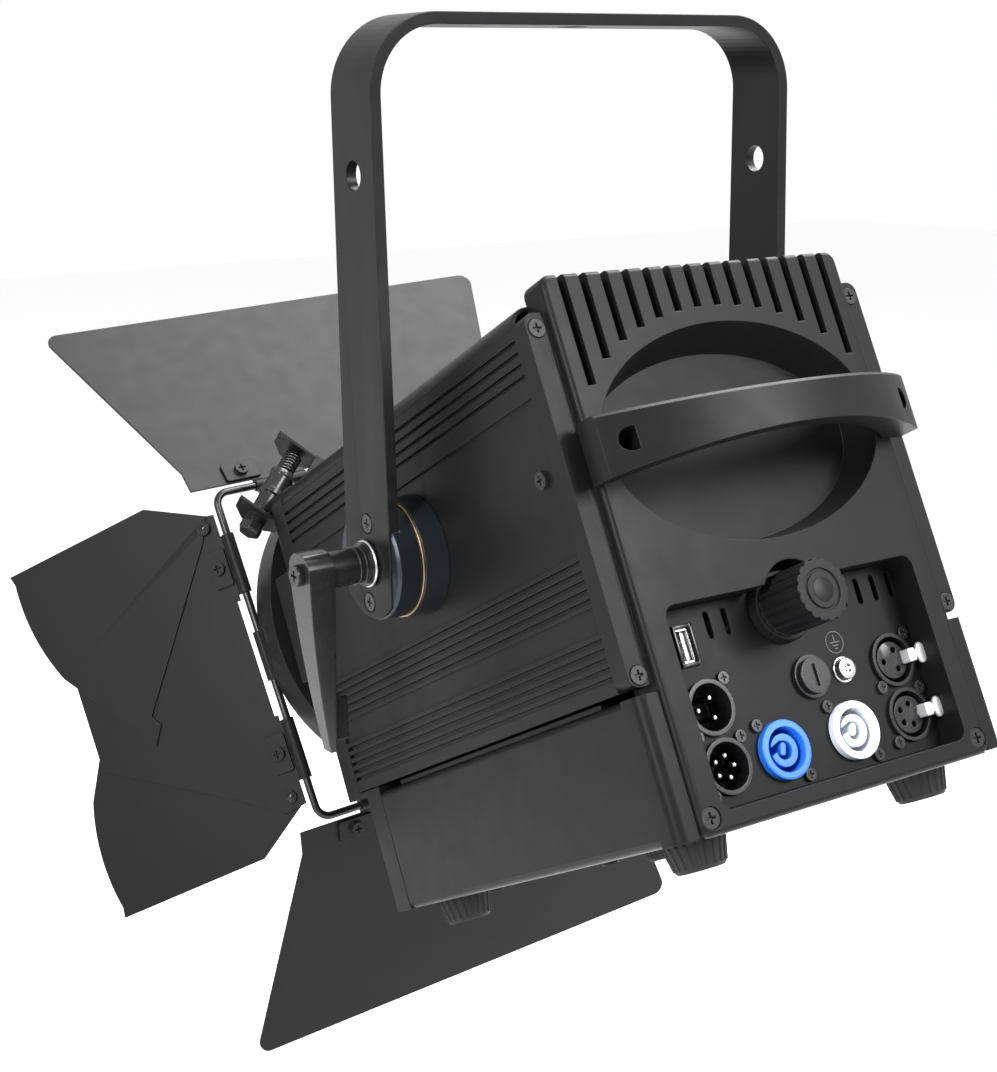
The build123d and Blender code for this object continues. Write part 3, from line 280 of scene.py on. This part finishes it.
def lens_glass():
    """Clear glass with a faint ripple from the mould."""
    material, tree, shader, coords = node_tree("lens_glass")
    ripple = noise(tree, coords, 120.0, 2.0, (-900, -200))
    relief = tree.nodes.new("ShaderNodeBump")
    relief.inputs["Strength"].default_value = 0.08
    relief.inputs["Distance"].default_value = 0.0005
    tree.links.new(ripple, relief.inputs["Height"])
    tree.links.new(relief.outputs["Normal"], shader.inputs["Normal"])
    smudge = noise(tree, coords, 20.0, 4.0, (-900, 200))
    tree.links.new(remap(tree, smudge, 0.3, 0.7, 0.03, 0.12, (-600, 200)), shader.inputs["Roughness"])
    tint = mixed(tree, smudge, (0.93, 0.97, 0.96), (0.98, 1.0, 1.0), (-600, 0))
    tree.links.new(tint, shader.inputs["Base Color"])
    shader.inputs["Transmission Weight"].default_value = 1.0
    shader.inputs["IOR"].default_value = 1.5
    return material


# ---------------------------------------------------------------- pieces


def finish_nodes(names, material):
    """Gives CAD nodes a material."""
    for name in names:
        node = frame["nodes"][name]
        node.data.materials.clear()
        node.data.materials.append(material)


def round_nodes(widths, material, segments=3):
    """Stands a copy with softly rounded edges in for each CAD node, with flat faces merged first."""
    for name, width in widths.items():
        mesh = bmesh.new()
        mesh.from_mesh(frame["nodes"][name].data)
        bmesh.ops.remove_doubles(mesh, verts=mesh.verts, dist=1e-5)
        bmesh.ops.dissolve_limit(
            mesh, angle_limit=radians(0.4), use_dissolve_boundaries=False, verts=mesh.verts, edges=mesh.edges
        )
        data = bpy.data.meshes.new(f"{name}_skin")
        mesh.to_mesh(data)
        mesh.free()
        data.materials.append(material)
        data.shade_smooth()
        data.set_sharp_from_angle(angle=radians(30))
        piece = bpy.data.objects.new(f"{name}_skin", data)
        bpy.context.scene.collection.objects.link(piece)
        bevel = piece.modifiers.new("rounding", "BEVEL")
        bevel.width = width * MM
        bevel.segments = segments
        bevel.limit_method = "ANGLE"
        bevel.angle_limit = radians(40)
        bevel.use_clamp_overlap = True
        bevel.harden_normals = True
        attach(piece, BODY_OF[name])
        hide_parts(name)


def new_piece(name, mesh, material, body, smooth=35):
    """An object from a bmesh, riding on a body, with smooth shading up to an angle."""
    data = bpy.data.meshes.new(name)
    bmesh.ops.recalc_face_normals(mesh, faces=mesh.faces)
    mesh.to_mesh(data)
    mesh.free()
    data.materials.append(material)
    data.shade_smooth()
    data.set_sharp_from_angle(angle=radians(smooth))
    piece = bpy.data.objects.new(name, data)
    bpy.context.scene.collection.objects.link(piece)
    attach(piece, body)
    return piece


def add_lathe(mesh, outline, place, steps=48):
    """Spins an outline of (radius, height) in millimetres about Z and sets it at a place."""
    verts = [mesh.verts.new(Vector((radius, 0, height)) * MM) for radius, height in outline]
    edges = [mesh.edges.new(pair) for pair in zip(verts, verts[1:])]
    bmesh.ops.spin(
        mesh, geom=verts + edges, cent=(0, 0, 0), axis=(0, 0, 1), angle=2 * pi, steps=steps, use_merge=True
    )
    made = set(verts)
    stack = list(verts)
    while stack:
        for edge in stack.pop().link_edges:
            for vert in edge.verts:
                if vert not in made:
                    made.add(vert)
                    stack.append(vert)
    bmesh.ops.remove_doubles(mesh, verts=list(made), dist=1e-6)
    alive = [vert for vert in made if vert.is_valid]
    bmesh.ops.transform(mesh, matrix=place, verts=alive)


def add_block(mesh, size, place, round_by=0.0):
    """A box of a size in millimetres, centred on a place, with rounded edges."""
    cube = bmesh.ops.create_cube(mesh, size=1.0)
    verts = cube["verts"]
    bmesh.ops.scale(mesh, vec=Vector(size) * MM, verts=verts)
    if round_by:
        edges = list({edge for vert in verts for edge in vert.link_edges})
        done = bmesh.ops.bevel(
            mesh, geom=edges, offset=round_by * MM, segments=2, profile=0.5, affect="EDGES", material=-1
        )
        verts = list({vert for face in done["faces"] for vert in face.verts})
    bmesh.ops.transform(mesh, matrix=place, verts=verts)


def add_hex_socket_screw(mesh, radius, height, place):
    """A round screw head with a domed edge and a socket."""
    outline = (
        (0.0, height * 0.45),
        (radius * 0.42, height * 0.45),
        (radius * 0.45, height * 0.95),
        (radius * 0.75, height),
        (radius * 0.95, height * 0.75),
        (radius, height * 0.35),
        (radius, 0.0),
    )
    add_lathe(mesh, outline, place, 32)


# ---------------------------------------------------------------- settings


class SpotlightColours(bpy.types.PropertyGroup):
    """Colours of the finishes."""

    case: FloatVectorProperty(
        name="Case",
        description="Textured paint of the case",
        subtype="COLOR",
        default=(0.0060, 0.0061, 0.0064),
    )
    yoke: FloatVectorProperty(
        name="Yoke", description="Satin paint of the yoke", subtype="COLOR", default=(0.0065, 0.0066, 0.0072)
    )
    doors: FloatVectorProperty(
        name="Doors",
        description="Satin paint of the doors",
        subtype="COLOR",
        default=(0.0075, 0.0075, 0.0077),
    )
    plastic: FloatVectorProperty(
        name="Plastic",
        description="Knobs and the clamp lever",
        subtype="COLOR",
        default=(0.0075, 0.0075, 0.008),
    )
    inlet: FloatVectorProperty(
        name="Inlet", description="Power input socket", subtype="COLOR", default=(0.015, 0.13, 0.62)
    )
    outlet: FloatVectorProperty(
        name="Outlet", description="Power output socket", subtype="COLOR", default=(0.66, 0.69, 0.74)
    )
    bronze: FloatVectorProperty(
        name="Washers",
        description="Friction washers at the tilt pivot",
        subtype="COLOR",
        default=(0.50, 0.33, 0.16),
    )


class SpotlightSizes(bpy.types.PropertyGroup):
    """Sizes of the fine detail."""

    foot_flutes: IntProperty(name="Foot flutes", description="Flutes round each foot", default=20, min=6)
    knob_ticks: IntProperty(
        name="Knob ticks", description="Marks round the zoom knob's skirt", default=36, min=8
    )
    floor_drop: FloatProperty(
        name="Floor", description="Gap from the spotlight to the floor", unit="LENGTH", default=0.16
    )


class Finisher:
    """Shared parts of the operators."""

    bl_options = {"REGISTER", "UNDO"}

    @property
    def colours(self):
        return bpy.context.scene.spotlight_colours

    @property
    def sizes(self):
        return bpy.context.scene.spotlight_sizes


    def node_box(self, name):
        """Corners of a node in the head's frame, in millimetres."""
        spots = [HEAD.inverted() @ vert.co / MM for vert in frame["nodes"][name].data.vertices]
        low = Vector([min(spot[i] for spot in spots) for i in range(3)])
        high = Vector([max(spot[i] for spot in spots) for i in range(3)])
        return low, high


# ---------------------------------------------------------------- operators


class SPOTLIGHT_OT_case(Finisher, bpy.types.Operator):
    """Finish the case, its handle and its panels"""

    bl_idname = "spotlight.case"
    bl_label = "Finish case"

    def execute(self, context):
        """Textured paint with rounded edges on the case nodes."""
        paint = surface(
            "case_paint", self.colours.case, 0.40, grain=1500.0, bump=0.14, wear=0.5, spread=0.08, shine=0.11
        )
        round_nodes(CASE_EDGES, paint)
        inner = surface("inner_metal", (0.42, 0.43, 0.44), 0.42, metal=1.0, grain=400.0, bump=0.05)
        # the divider plate gets the black case paint so the gap between the side panel and the base tray reads
        # dark: painted shade
        finish_nodes(("divider_plate",), paint)
        finish_nodes(("lens_holder", "power_supply", "heat_sink"), inner)
        return {"FINISHED"}


class SPOTLIGHT_OT_yoke(Finisher, bpy.types.Operator):
    """Finish the yoke, its pivots and the clamp lever"""

    bl_idname = "spotlight.yoke"
    bl_label = "Finish yoke"

    def execute(self, context):
        """Satin paint on the bar, bright metal on the pivots and plastic on the lever."""
        paint = surface(
            "yoke_paint", self.colours.yoke, 0.34, grain=2600.0, bump=0.06, wear=0.6, spread=0.08, shine=0.13
        )
        round_nodes({"yoke": 0.6}, paint)
        discs = surface(
            "disc_aluminium",
            (0.020, 0.024, 0.030),
            0.32,
            metal=0.6,
            bump=0.03,
            wear=0.9,
            wear_colour=(0.30, 0.33, 0.36),
        )
        round_nodes({"yoke_discs": 0.4, "housing_discs": 0.4}, discs)
        bronze = surface("bronze", self.colours.bronze, 0.30, metal=1.0, bump=0.03)
        finish_nodes(("friction_washers",), bronze)
        dark = surface("black_screws", (0.012, 0.012, 0.013), 0.24, metal=0.4, bump=0.04, wear=0.8)
        finish_nodes(("disc_screws", "lever_screw"), dark)
        zinc = surface("zinc", (0.52, 0.52, 0.53), 0.28, metal=1.0, bump=0.05, wear=0.2)
        finish_nodes(("pivot_studs", "guide_rods", "zoom_spindle"), zinc)
        lever = surface(
            "lever_plastic", self.colours.plastic, 0.26, grain=1200.0, bump=0.03, wear=0.4, shine=0.45
        )
        round_nodes({"tilt_lever": 1.3}, lever, 4)
        mesh = bmesh.new()
        near = Matrix.Translation(PIVOT) @ Matrix.Rotation(radians(90), 4, "Y")
        ring = ((5.4, 110.1), (9.9, 110.1), (10.3, 110.5), (10.3, 111.1), (9.9, 111.5), (5.4, 111.5))
        add_lathe(mesh, ring, near, 48)
        new_piece("lever_washer", mesh, zinc, "lever")
        mesh = bmesh.new()
        for height in (113.6, 116.6):
            middle, top = height + 0.5, height + 1.0
            ring = ((7.7, height), (8.3, height), (8.5, middle), (8.3, top), (7.7, top))
            add_lathe(mesh, ring, near, 40)
        new_piece("lever_collars", mesh, lever, "lever")
        return {"FINISHED"}


class SPOTLIGHT_OT_doors(Finisher, bpy.types.Operator):
    """Finish the doors, their frame and the accessory holder"""

    bl_idname = "spotlight.doors"
    bl_label = "Finish doors"

    def execute(self, context):
        """Satin paint on the sheets, with rivets on the wings and a worn wire frame."""
        paint = surface(
            "door_paint", self.colours.doors, 0.40, grain=1900.0, bump=0.10, wear=0.6, spread=0.08, shine=0.12
        )
        round_nodes({name: 0.25 for name in DOOR_SHEETS}, paint, 2)
        round_nodes(HOLDER_EDGES, paint, 2)
        wire = surface("door_wire", (0.03, 0.03, 0.032), 0.26, metal=0.8, bump=0.04, wear=0.9)
        finish_nodes(("door_rod",), wire)
        finish_nodes(LEAF_CLIPS, paint)
        spring = surface("spring_steel", (0.06, 0.06, 0.062), 0.34, metal=1.0, bump=0.04)
        finish_nodes(("clip_spring",), spring)
        turned = surface("clip_barrel_metal", (0.02, 0.02, 0.021), 0.24, metal=0.5, bump=0.05, wear=0.9)
        mesh = bmesh.new()
        barrel = (
            (4.7, -7.0),
            (6.0, -7.0),
            (6.4, -6.4),
            (6.4, -4.2),
            (5.6, -3.6),
            (5.6, 5.0),
            (6.6, 5.4),
            (6.6, 7.8),
            (5.2, 8.4),
            (5.0, 18.4),
            (4.7, 18.9),
        )
        add_lathe(mesh, barrel, joint_matrix("clip_swing"), 40)
        new_piece("clip_barrel", mesh, turned, "clip")
        mesh = bmesh.new()
        cap = ((2.6, 26.1), (5.6, 26.1), (6.0, 26.7), (6.0, 30.5), (5.2, 31.6), (0, 31.9))
        add_lathe(mesh, cap, joint_matrix("clip_swing"), 6)
        new_piece("clip_cap", mesh, turned, "head", 20)
        rivet = surface("rivets", (0.03, 0.03, 0.032), 0.24, metal=0.9, bump=0.05, wear=0.9)
        for body in WING_BODIES:
            joint = body.replace("wing_", "") + "_wing_turn"
            mesh = bmesh.new()
            side = -1 if "upper" in body else 1
            for end, height in ((1, 2.9), (-1, 1.8)):
                facing = Matrix.Identity(4) if side * end > 0 else Matrix.Rotation(pi, 4, "X")
                outward = facing if "upper" in body else Matrix.Rotation(pi, 4, "X") @ facing
                head = ((0, height + 0.7), (1.2, height + 0.6), (2.1, height + 0.1), (2.3, height - 0.5))
                add_lathe(mesh, head, joint_matrix(joint) @ outward, 24)
            new_piece(f"{body}_rivet", mesh, rivet, body)
        return {"FINISHED"}


class SPOTLIGHT_OT_sockets(Finisher, bpy.types.Operator):
    """Finish the back panel's sockets"""

    bl_idname = "spotlight.sockets"
    bl_label = "Finish sockets"

    def execute(self, context):
        """Black control sockets with pins whose shanks are painted dark as shade and whose tips keep bright
        steel, coloured power sockets and the earth mark.
        """
        shell = surface("socket_shell", (0.008, 0.008, 0.009), 0.26, bump=0.05, wear=0.7, shine=0.35)
        round_nodes({name: 0.25 for name in SHELL_NODES}, shell, 2)
        blue = surface("blue_plastic", self.colours.inlet, 0.32, bump=0.04, wear=0.2, coat=0.2)
        round_nodes({"power_inlet": 0.5}, blue)
        white = surface(
            "white_plastic", self.colours.outlet, 0.34, bump=0.04, wear=0.1, coat=0.15, spread=0.05
        )
        round_nodes({"power_outlet": 0.5}, white)
        bright = surface("bright_steel", (0.66, 0.66, 0.67), 0.2, metal=1.0, bump=0.04, wear=0.2)
        finish_nodes(("usb_port",), bright)
        satin = surface("latch_steel", (0.70, 0.70, 0.71), 0.45, metal=0.6, bump=0.04, wear=0.2)
        finish_nodes(("release_latch_upper", "release_latch_lower"), satin)
        screws = surface("panel_screws", (0.012, 0.012, 0.013), 0.24, metal=0.2, bump=0.04, wear=0.9)
        finish_nodes(("panel_screws",), screws)
        cover = surface("cover_screws", (0.012, 0.012, 0.013), 0.38, bump=0.04, wear=0.9, shine=0.2)
        finish_nodes(("cover_screws",), cover)
        mesh = bmesh.new()
        for x, z, count in MALE_SOCKETS:
            for i in range(count):
                turn = 2 * pi * i / count + (0 if count == 3 else radians(36))
                spot = on_head(x + PIN_CIRCLE * cos(turn), PIN_ROOT_Y, z - PIN_CIRCLE * sin(turn))
                pin = ((1.12, 0), (1.12, 11.9), (0.85, 12.3), (0.4, 12.5), (0, 12.55))
                add_lathe(mesh, pin, spot, 20)
        # the pin shanks get a dark metal as painted shade deep in the sockets; only the tips get the bright
        # steel
        pin_shade_metal = surface("painted_shade_pins", (0.07, 0.07, 0.07), 0.35, metal=1.0, bump=0.03, wear=0.0)
        pins = new_piece("socket_pins", mesh, pin_shade_metal, "head")
        pins.data.materials.append(bright)
        tip = (PIN_ROOT_Y + PIN_SHADE_LENGTH) * MM
        for face in pins.data.polygons:
            face.material_index = 1 if (HEAD.inverted() @ face.center).y > tip else 0
        mesh = bmesh.new()
        low, high = self.node_box("usb_port")
        x, z = (low.x + high.x) / 2, (low.z + high.z) / 2
        wide, tall = high.x - low.x, high.z - low.z
        for side in (-1, 1):
            upright = on_head(x + side * (wide / 2 + 0.95), PANEL_Y + 1.15, z)
            add_block(mesh, (1.5, tall + 3.6, 2.2), upright, 0.35)
            crossbar = on_head(x, PANEL_Y + 1.15, z + side * (tall / 2 + 0.95))
            add_block(mesh, (wide + 3.4, 1.5, 2.2), crossbar, 0.35)
        new_piece("usb_surround", mesh, shell, "head")
        for (x, z, count), body in zip(FEMALE_SOCKETS, ("latch_upper", "latch_lower")):
            mesh = bmesh.new()
            add_block(mesh, (4.8, 3.6, 1.3), on_head(x - 9.6, PANEL_Y + 4.6, z), 0.4)
            stretched = on_head(x - 12.8, PANEL_Y + 4.0, z) @ Matrix.Diagonal((0.62, 1.05, 1.0, 1.0))
            dome = ((0, 0), (4.1, 0), (4.2, 0.4), (4.1, 1.2), (3.4, 1.7), (0, 1.9))
            add_lathe(mesh, dome, stretched, 32)
            new_piece(f"{body}_paddle", mesh, satin, body)
        mesh = bmesh.new()
        for x, z in POWER_SOCKETS:
            add_lathe(mesh, POWER_RIM, on_head(x, PANEL_Y, z), 64)
        rims = new_piece("power_rims", mesh, blue, "head")
        rims.data.materials.append(white)
        for face in rims.data.polygons:
            centre = HEAD.inverted() @ face.center
            face.material_index = 1 if centre.x < 0 else 0
        mark = surface("mark_paint", (0.09, 0.09, 0.09), 0.5, bump=0.02, wear=0.0, spread=0.08)
        mesh = bmesh.new()
        x, z = EARTH_MARK
        add_block(mesh, (0.5, 3.2, 0.16), on_head(x, PANEL_Y + 0.08, z + 1.6))
        for drop, width in ((0.0, 5.0), (1.3, 3.4), (2.6, 1.6)):
            add_block(mesh, (width, 0.5, 0.16), on_head(x, PANEL_Y + 0.08, z - drop))
        ring = ((4.3, 0.02), (4.7, 0.02), (4.7, 0.16), (4.3, 0.16), (4.3, 0.02))
        add_lathe(mesh, ring, on_head(x, PANEL_Y, z), 48)
        new_piece("earth_mark", mesh, mark, "head")
        mesh = bmesh.new()
        x, z = EARTH_SCREW
        washer = ((4.6, 0.05), (5.4, 0.05), (5.5, 0.5), (5.2, 0.9), (4.6, 0.9))
        add_lathe(mesh, washer, on_head(x, PANEL_Y, z), 40)
        add_hex_socket_screw(mesh, 4.4, 1.4, on_head(x, PANEL_Y + 2.2, z))
        new_piece("earth_screw", mesh, bright, "head")
        return {"FINISHED"}


class SPOTLIGHT_OT_knobs(Finisher, bpy.types.Operator):
    """Finish the zoom knob, the menu knob and the display"""

    bl_idname = "spotlight.knobs"
    bl_label = "Finish knobs"

    def execute(self, context):
        """Moulded knobs, with marks round the zoom knob's skirt."""
        plastic = surface(
            "knob_plastic", self.colours.plastic, 0.36, grain=1400.0, bump=0.08, wear=0.5, shine=0.12
        )
        round_nodes({"zoom_knob": 0.7, "menu_knob": 0.4}, plastic)
        panel = surface("panel_plastic", (0.012, 0.012, 0.013), 0.4, bump=0.06)
        finish_nodes(("display_panel", "fan_frame", "fan_rotor"), panel)
        mesh = bmesh.new()
        for i in range(self.sizes.knob_ticks):
            turn = Matrix.Rotation(2 * pi * i / self.sizes.knob_ticks, 4, "Z")
            lean = Matrix.Rotation(radians(-12), 4, "Y")
            out = Matrix.Translation(Vector((14.5, 0, 0)) * MM)
            spot = on_head(0, PANEL_Y + 3.1, KNOB_Z) @ turn @ out @ lean
            add_block(mesh, (0.5, 0.5, 3.2), spot, 0.15)
        new_piece("knob_skirt_ribs", mesh, plastic, "zoom")
        mesh = bmesh.new()
        cap = ((0, 0.25), (4.6, 0.25), (5.0, 0.1), (5.2, -0.4), (5.4, -0.4))
        add_lathe(mesh, cap, on_head(0, KNOB_FACE_Y, KNOB_Z), 48)
        new_piece("knob_cap", mesh, plastic, "zoom")
        low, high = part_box("display_panel")
        glass = surface("display_glass", (0.004, 0.006, 0.009), 0.08, bump=0.01, wear=0.0, coat=1.0)
        mesh = bmesh.new()
        spot = HEAD @ Matrix.Translation(Vector((low.x / MM + 0.55, 22.0, -119.0)) * MM)
        add_block(mesh, (0.5, 49.6, 19.6), spot, 0.2)
        new_piece("display_window", mesh, glass, "head")
        return {"FINISHED"}


class SPOTLIGHT_OT_feet(Finisher, bpy.types.Operator):
    """Model the fluted rubber feet"""

    bl_idname = "spotlight.feet"
    bl_label = "Model feet"

    def execute(self, context):
        """Turned feet with flutes, in place of the plain cones."""
        rubber = surface("rubber", (0.009, 0.009, 0.0095), 0.6, grain=700.0, bump=0.2, wear=0.3, shine=0.25)
        down = Matrix.Rotation(pi, 4, "X")
        mesh = bmesh.new()
        outline = (
            (4.2, 4.4),
            (4.2, 11.4),
            (5.0, 12.1),
            (9.4, 12.2),
            (10.1, 11.4),
            (12.5, 1.2),
            (12.7, 0.1),
            (2.2, 0.1),
            (2.2, 4.4),
            (4.2, 4.4),
        )
        flutes = self.sizes.foot_flutes
        for x, y in FOOT_SPOTS:
            spot = HEAD @ Matrix.Translation(Vector((x, y, FOOT_SEAT_Z)) * MM) @ down
            add_lathe(mesh, outline, spot, flutes * 4)
            for i in range(flutes):
                turn = Matrix.Rotation(2 * pi * i / flutes, 4, "Z")
                lean = Matrix.Rotation(radians(-12), 4, "Y")
                rib = spot @ turn @ Matrix.Translation(Vector((11.4, 0, 6.0)) * MM) @ lean
                add_block(mesh, (1.0, 1.5, 10.0), rib, 0.4)
        piece = new_piece("rubber_feet", mesh, rubber, "head")
        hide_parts("feet")
        return {"FINISHED"}


class SPOTLIGHT_OT_optics(Finisher, bpy.types.Operator):
    """Finish the lens and the light source"""

    bl_idname = "spotlight.optics"
    bl_label = "Finish optics"

    def execute(self, context):
        """Clear glass for the stepped lens and a coated disc for the source."""
        finish_nodes(("fresnel_lens",), lens_glass())
        source = surface("led_coating", (0.72, 0.62, 0.22), 0.5, bump=0.05, wear=0.0)
        finish_nodes(("led_module",), source)
        return {"FINISHED"}


class SPOTLIGHT_OT_stage(Finisher, bpy.types.Operator):
    """Set up the floor, the lights and the camera"""

    bl_idname = "spotlight.stage"
    bl_label = "Set stage"

    def add_light(self, name, place, aim, size, power):
        """A square area light that faces a point."""
        light = bpy.data.lights.new(name, "AREA")
        light.shape = "RECTANGLE"
        light.size = size[0]
        light.size_y = size[1]
        light.energy = power
        lamp = bpy.data.objects.new(name, light)
        bpy.context.scene.collection.objects.link(lamp)
        direction = Vector(aim) - Vector(place)
        turn = direction.to_track_quat("-Z", "Y").to_matrix().to_4x4()
        lamp.matrix_world = Matrix.Translation(Vector(place)) @ turn
        return lamp

    def execute(self, context):
        """A pale floor, four soft lights and the camera."""
        low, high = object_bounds()
        mesh = bmesh.new()
        bmesh.ops.create_grid(mesh, x_segments=1, y_segments=1, size=6.0)
        bmesh.ops.translate(mesh, vec=(0, 0, low.z - self.sizes.floor_drop), verts=mesh.verts)
        data = bpy.data.meshes.new("floor")
        mesh.to_mesh(data)
        mesh.free()
        pale = surface("floor_paint", (0.96, 0.96, 0.96), 0.6, bump=0.0, wear=0.0, spread=0.01)
        data.materials.append(pale)
        floor = bpy.data.objects.new("floor", data)
        context.scene.collection.objects.link(floor)
        aim = (0, 0, PIVOT.z)
        lamps = [
            self.add_light("key", (-0.62, 1.25, 0.72), aim, (0.8, 0.7), 36),
            self.add_light("side", (1.25, 0.55, 0.45), aim, (0.14, 0.9), 24),
            self.add_light("rim", (0.9, -1.2, -0.25), aim, (0.4, 1.2), 0.8),
            self.add_light("top", (-0.4, -0.14, 0.6), (0, -0.22, -0.18), (0.7, 0.7), 24),
        ]
        camera_data = bpy.data.cameras.new("camera")
        camera_data.lens = 60.06
        camera_data.sensor_width = 36.0
        camera_data.shift_x = -0.0185
        camera_data.shift_y = 0.0471
        camera_data.clip_start = 0.01
        camera = bpy.data.objects.new("camera", camera_data)
        context.scene.collection.objects.link(camera)
        turn = Matrix((CAMERA_RIGHT, CAMERA_UP, CAMERA_BACK)).transposed().to_4x4()
        camera.matrix_world = Matrix.Translation(Vector(CAMERA_PLACE)) @ turn
        context.scene.camera = camera
        context.scene.view_settings.view_transform = "Standard"
        world = bpy.data.worlds.new("studio")
        world.use_nodes = True
        world.node_tree.nodes["Background"].inputs["Color"].default_value = (1, 1, 1, 1)
        world.node_tree.nodes["Background"].inputs["Strength"].default_value = 1.0
        context.scene.world = world
        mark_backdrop(floor, camera, *lamps)
        return {"FINISHED"}


class SPOTLIGHT_PT_sidebar(bpy.types.Panel):
    """Sizes, colours and steps of the spotlight"""

    bl_label = "Spotlight"
    bl_idname = "SPOTLIGHT_PT_sidebar"
    bl_space_type = "VIEW_3D"
    bl_region_type = "UI"
    bl_category = "Spotlight"

    def draw(self, context):
        """Lists the settings and the operators."""
        for group in (context.scene.spotlight_sizes, context.scene.spotlight_colours):
            for name in group.__annotations__:
                self.layout.prop(group, name)
        for operator in OPERATORS:
            self.layout.operator(operator.bl_idname)


OPERATORS = (
    SPOTLIGHT_OT_case,
    SPOTLIGHT_OT_yoke,
    SPOTLIGHT_OT_doors,
    SPOTLIGHT_OT_sockets,
    SPOTLIGHT_OT_knobs,
    SPOTLIGHT_OT_feet,
    SPOTLIGHT_OT_optics,
    SPOTLIGHT_OT_stage,
)
CLASSES = (SpotlightColours, SpotlightSizes) + OPERATORS + (SPOTLIGHT_PT_sidebar,)


def register():
    """Adds the classes and the scene's settings."""
    for item in CLASSES:
        bpy.utils.register_class(item)
    bpy.types.Scene.spotlight_colours = PointerProperty(type=SpotlightColours)
    bpy.types.Scene.spotlight_sizes = PointerProperty(type=SpotlightSizes)


def unregister():
    """Takes the settings and the classes away again."""
    del bpy.types.Scene.spotlight_sizes
    del bpy.types.Scene.spotlight_colours
    for item in reversed(CLASSES):
        bpy.utils.unregister_class(item)


def main():
    """Runs each step in order."""
    register()
    for operator in OPERATORS:
        group, name = operator.bl_idname.split(".")
        getattr(getattr(bpy.ops, group), name)()


if __name__ == "__main__":
    main()
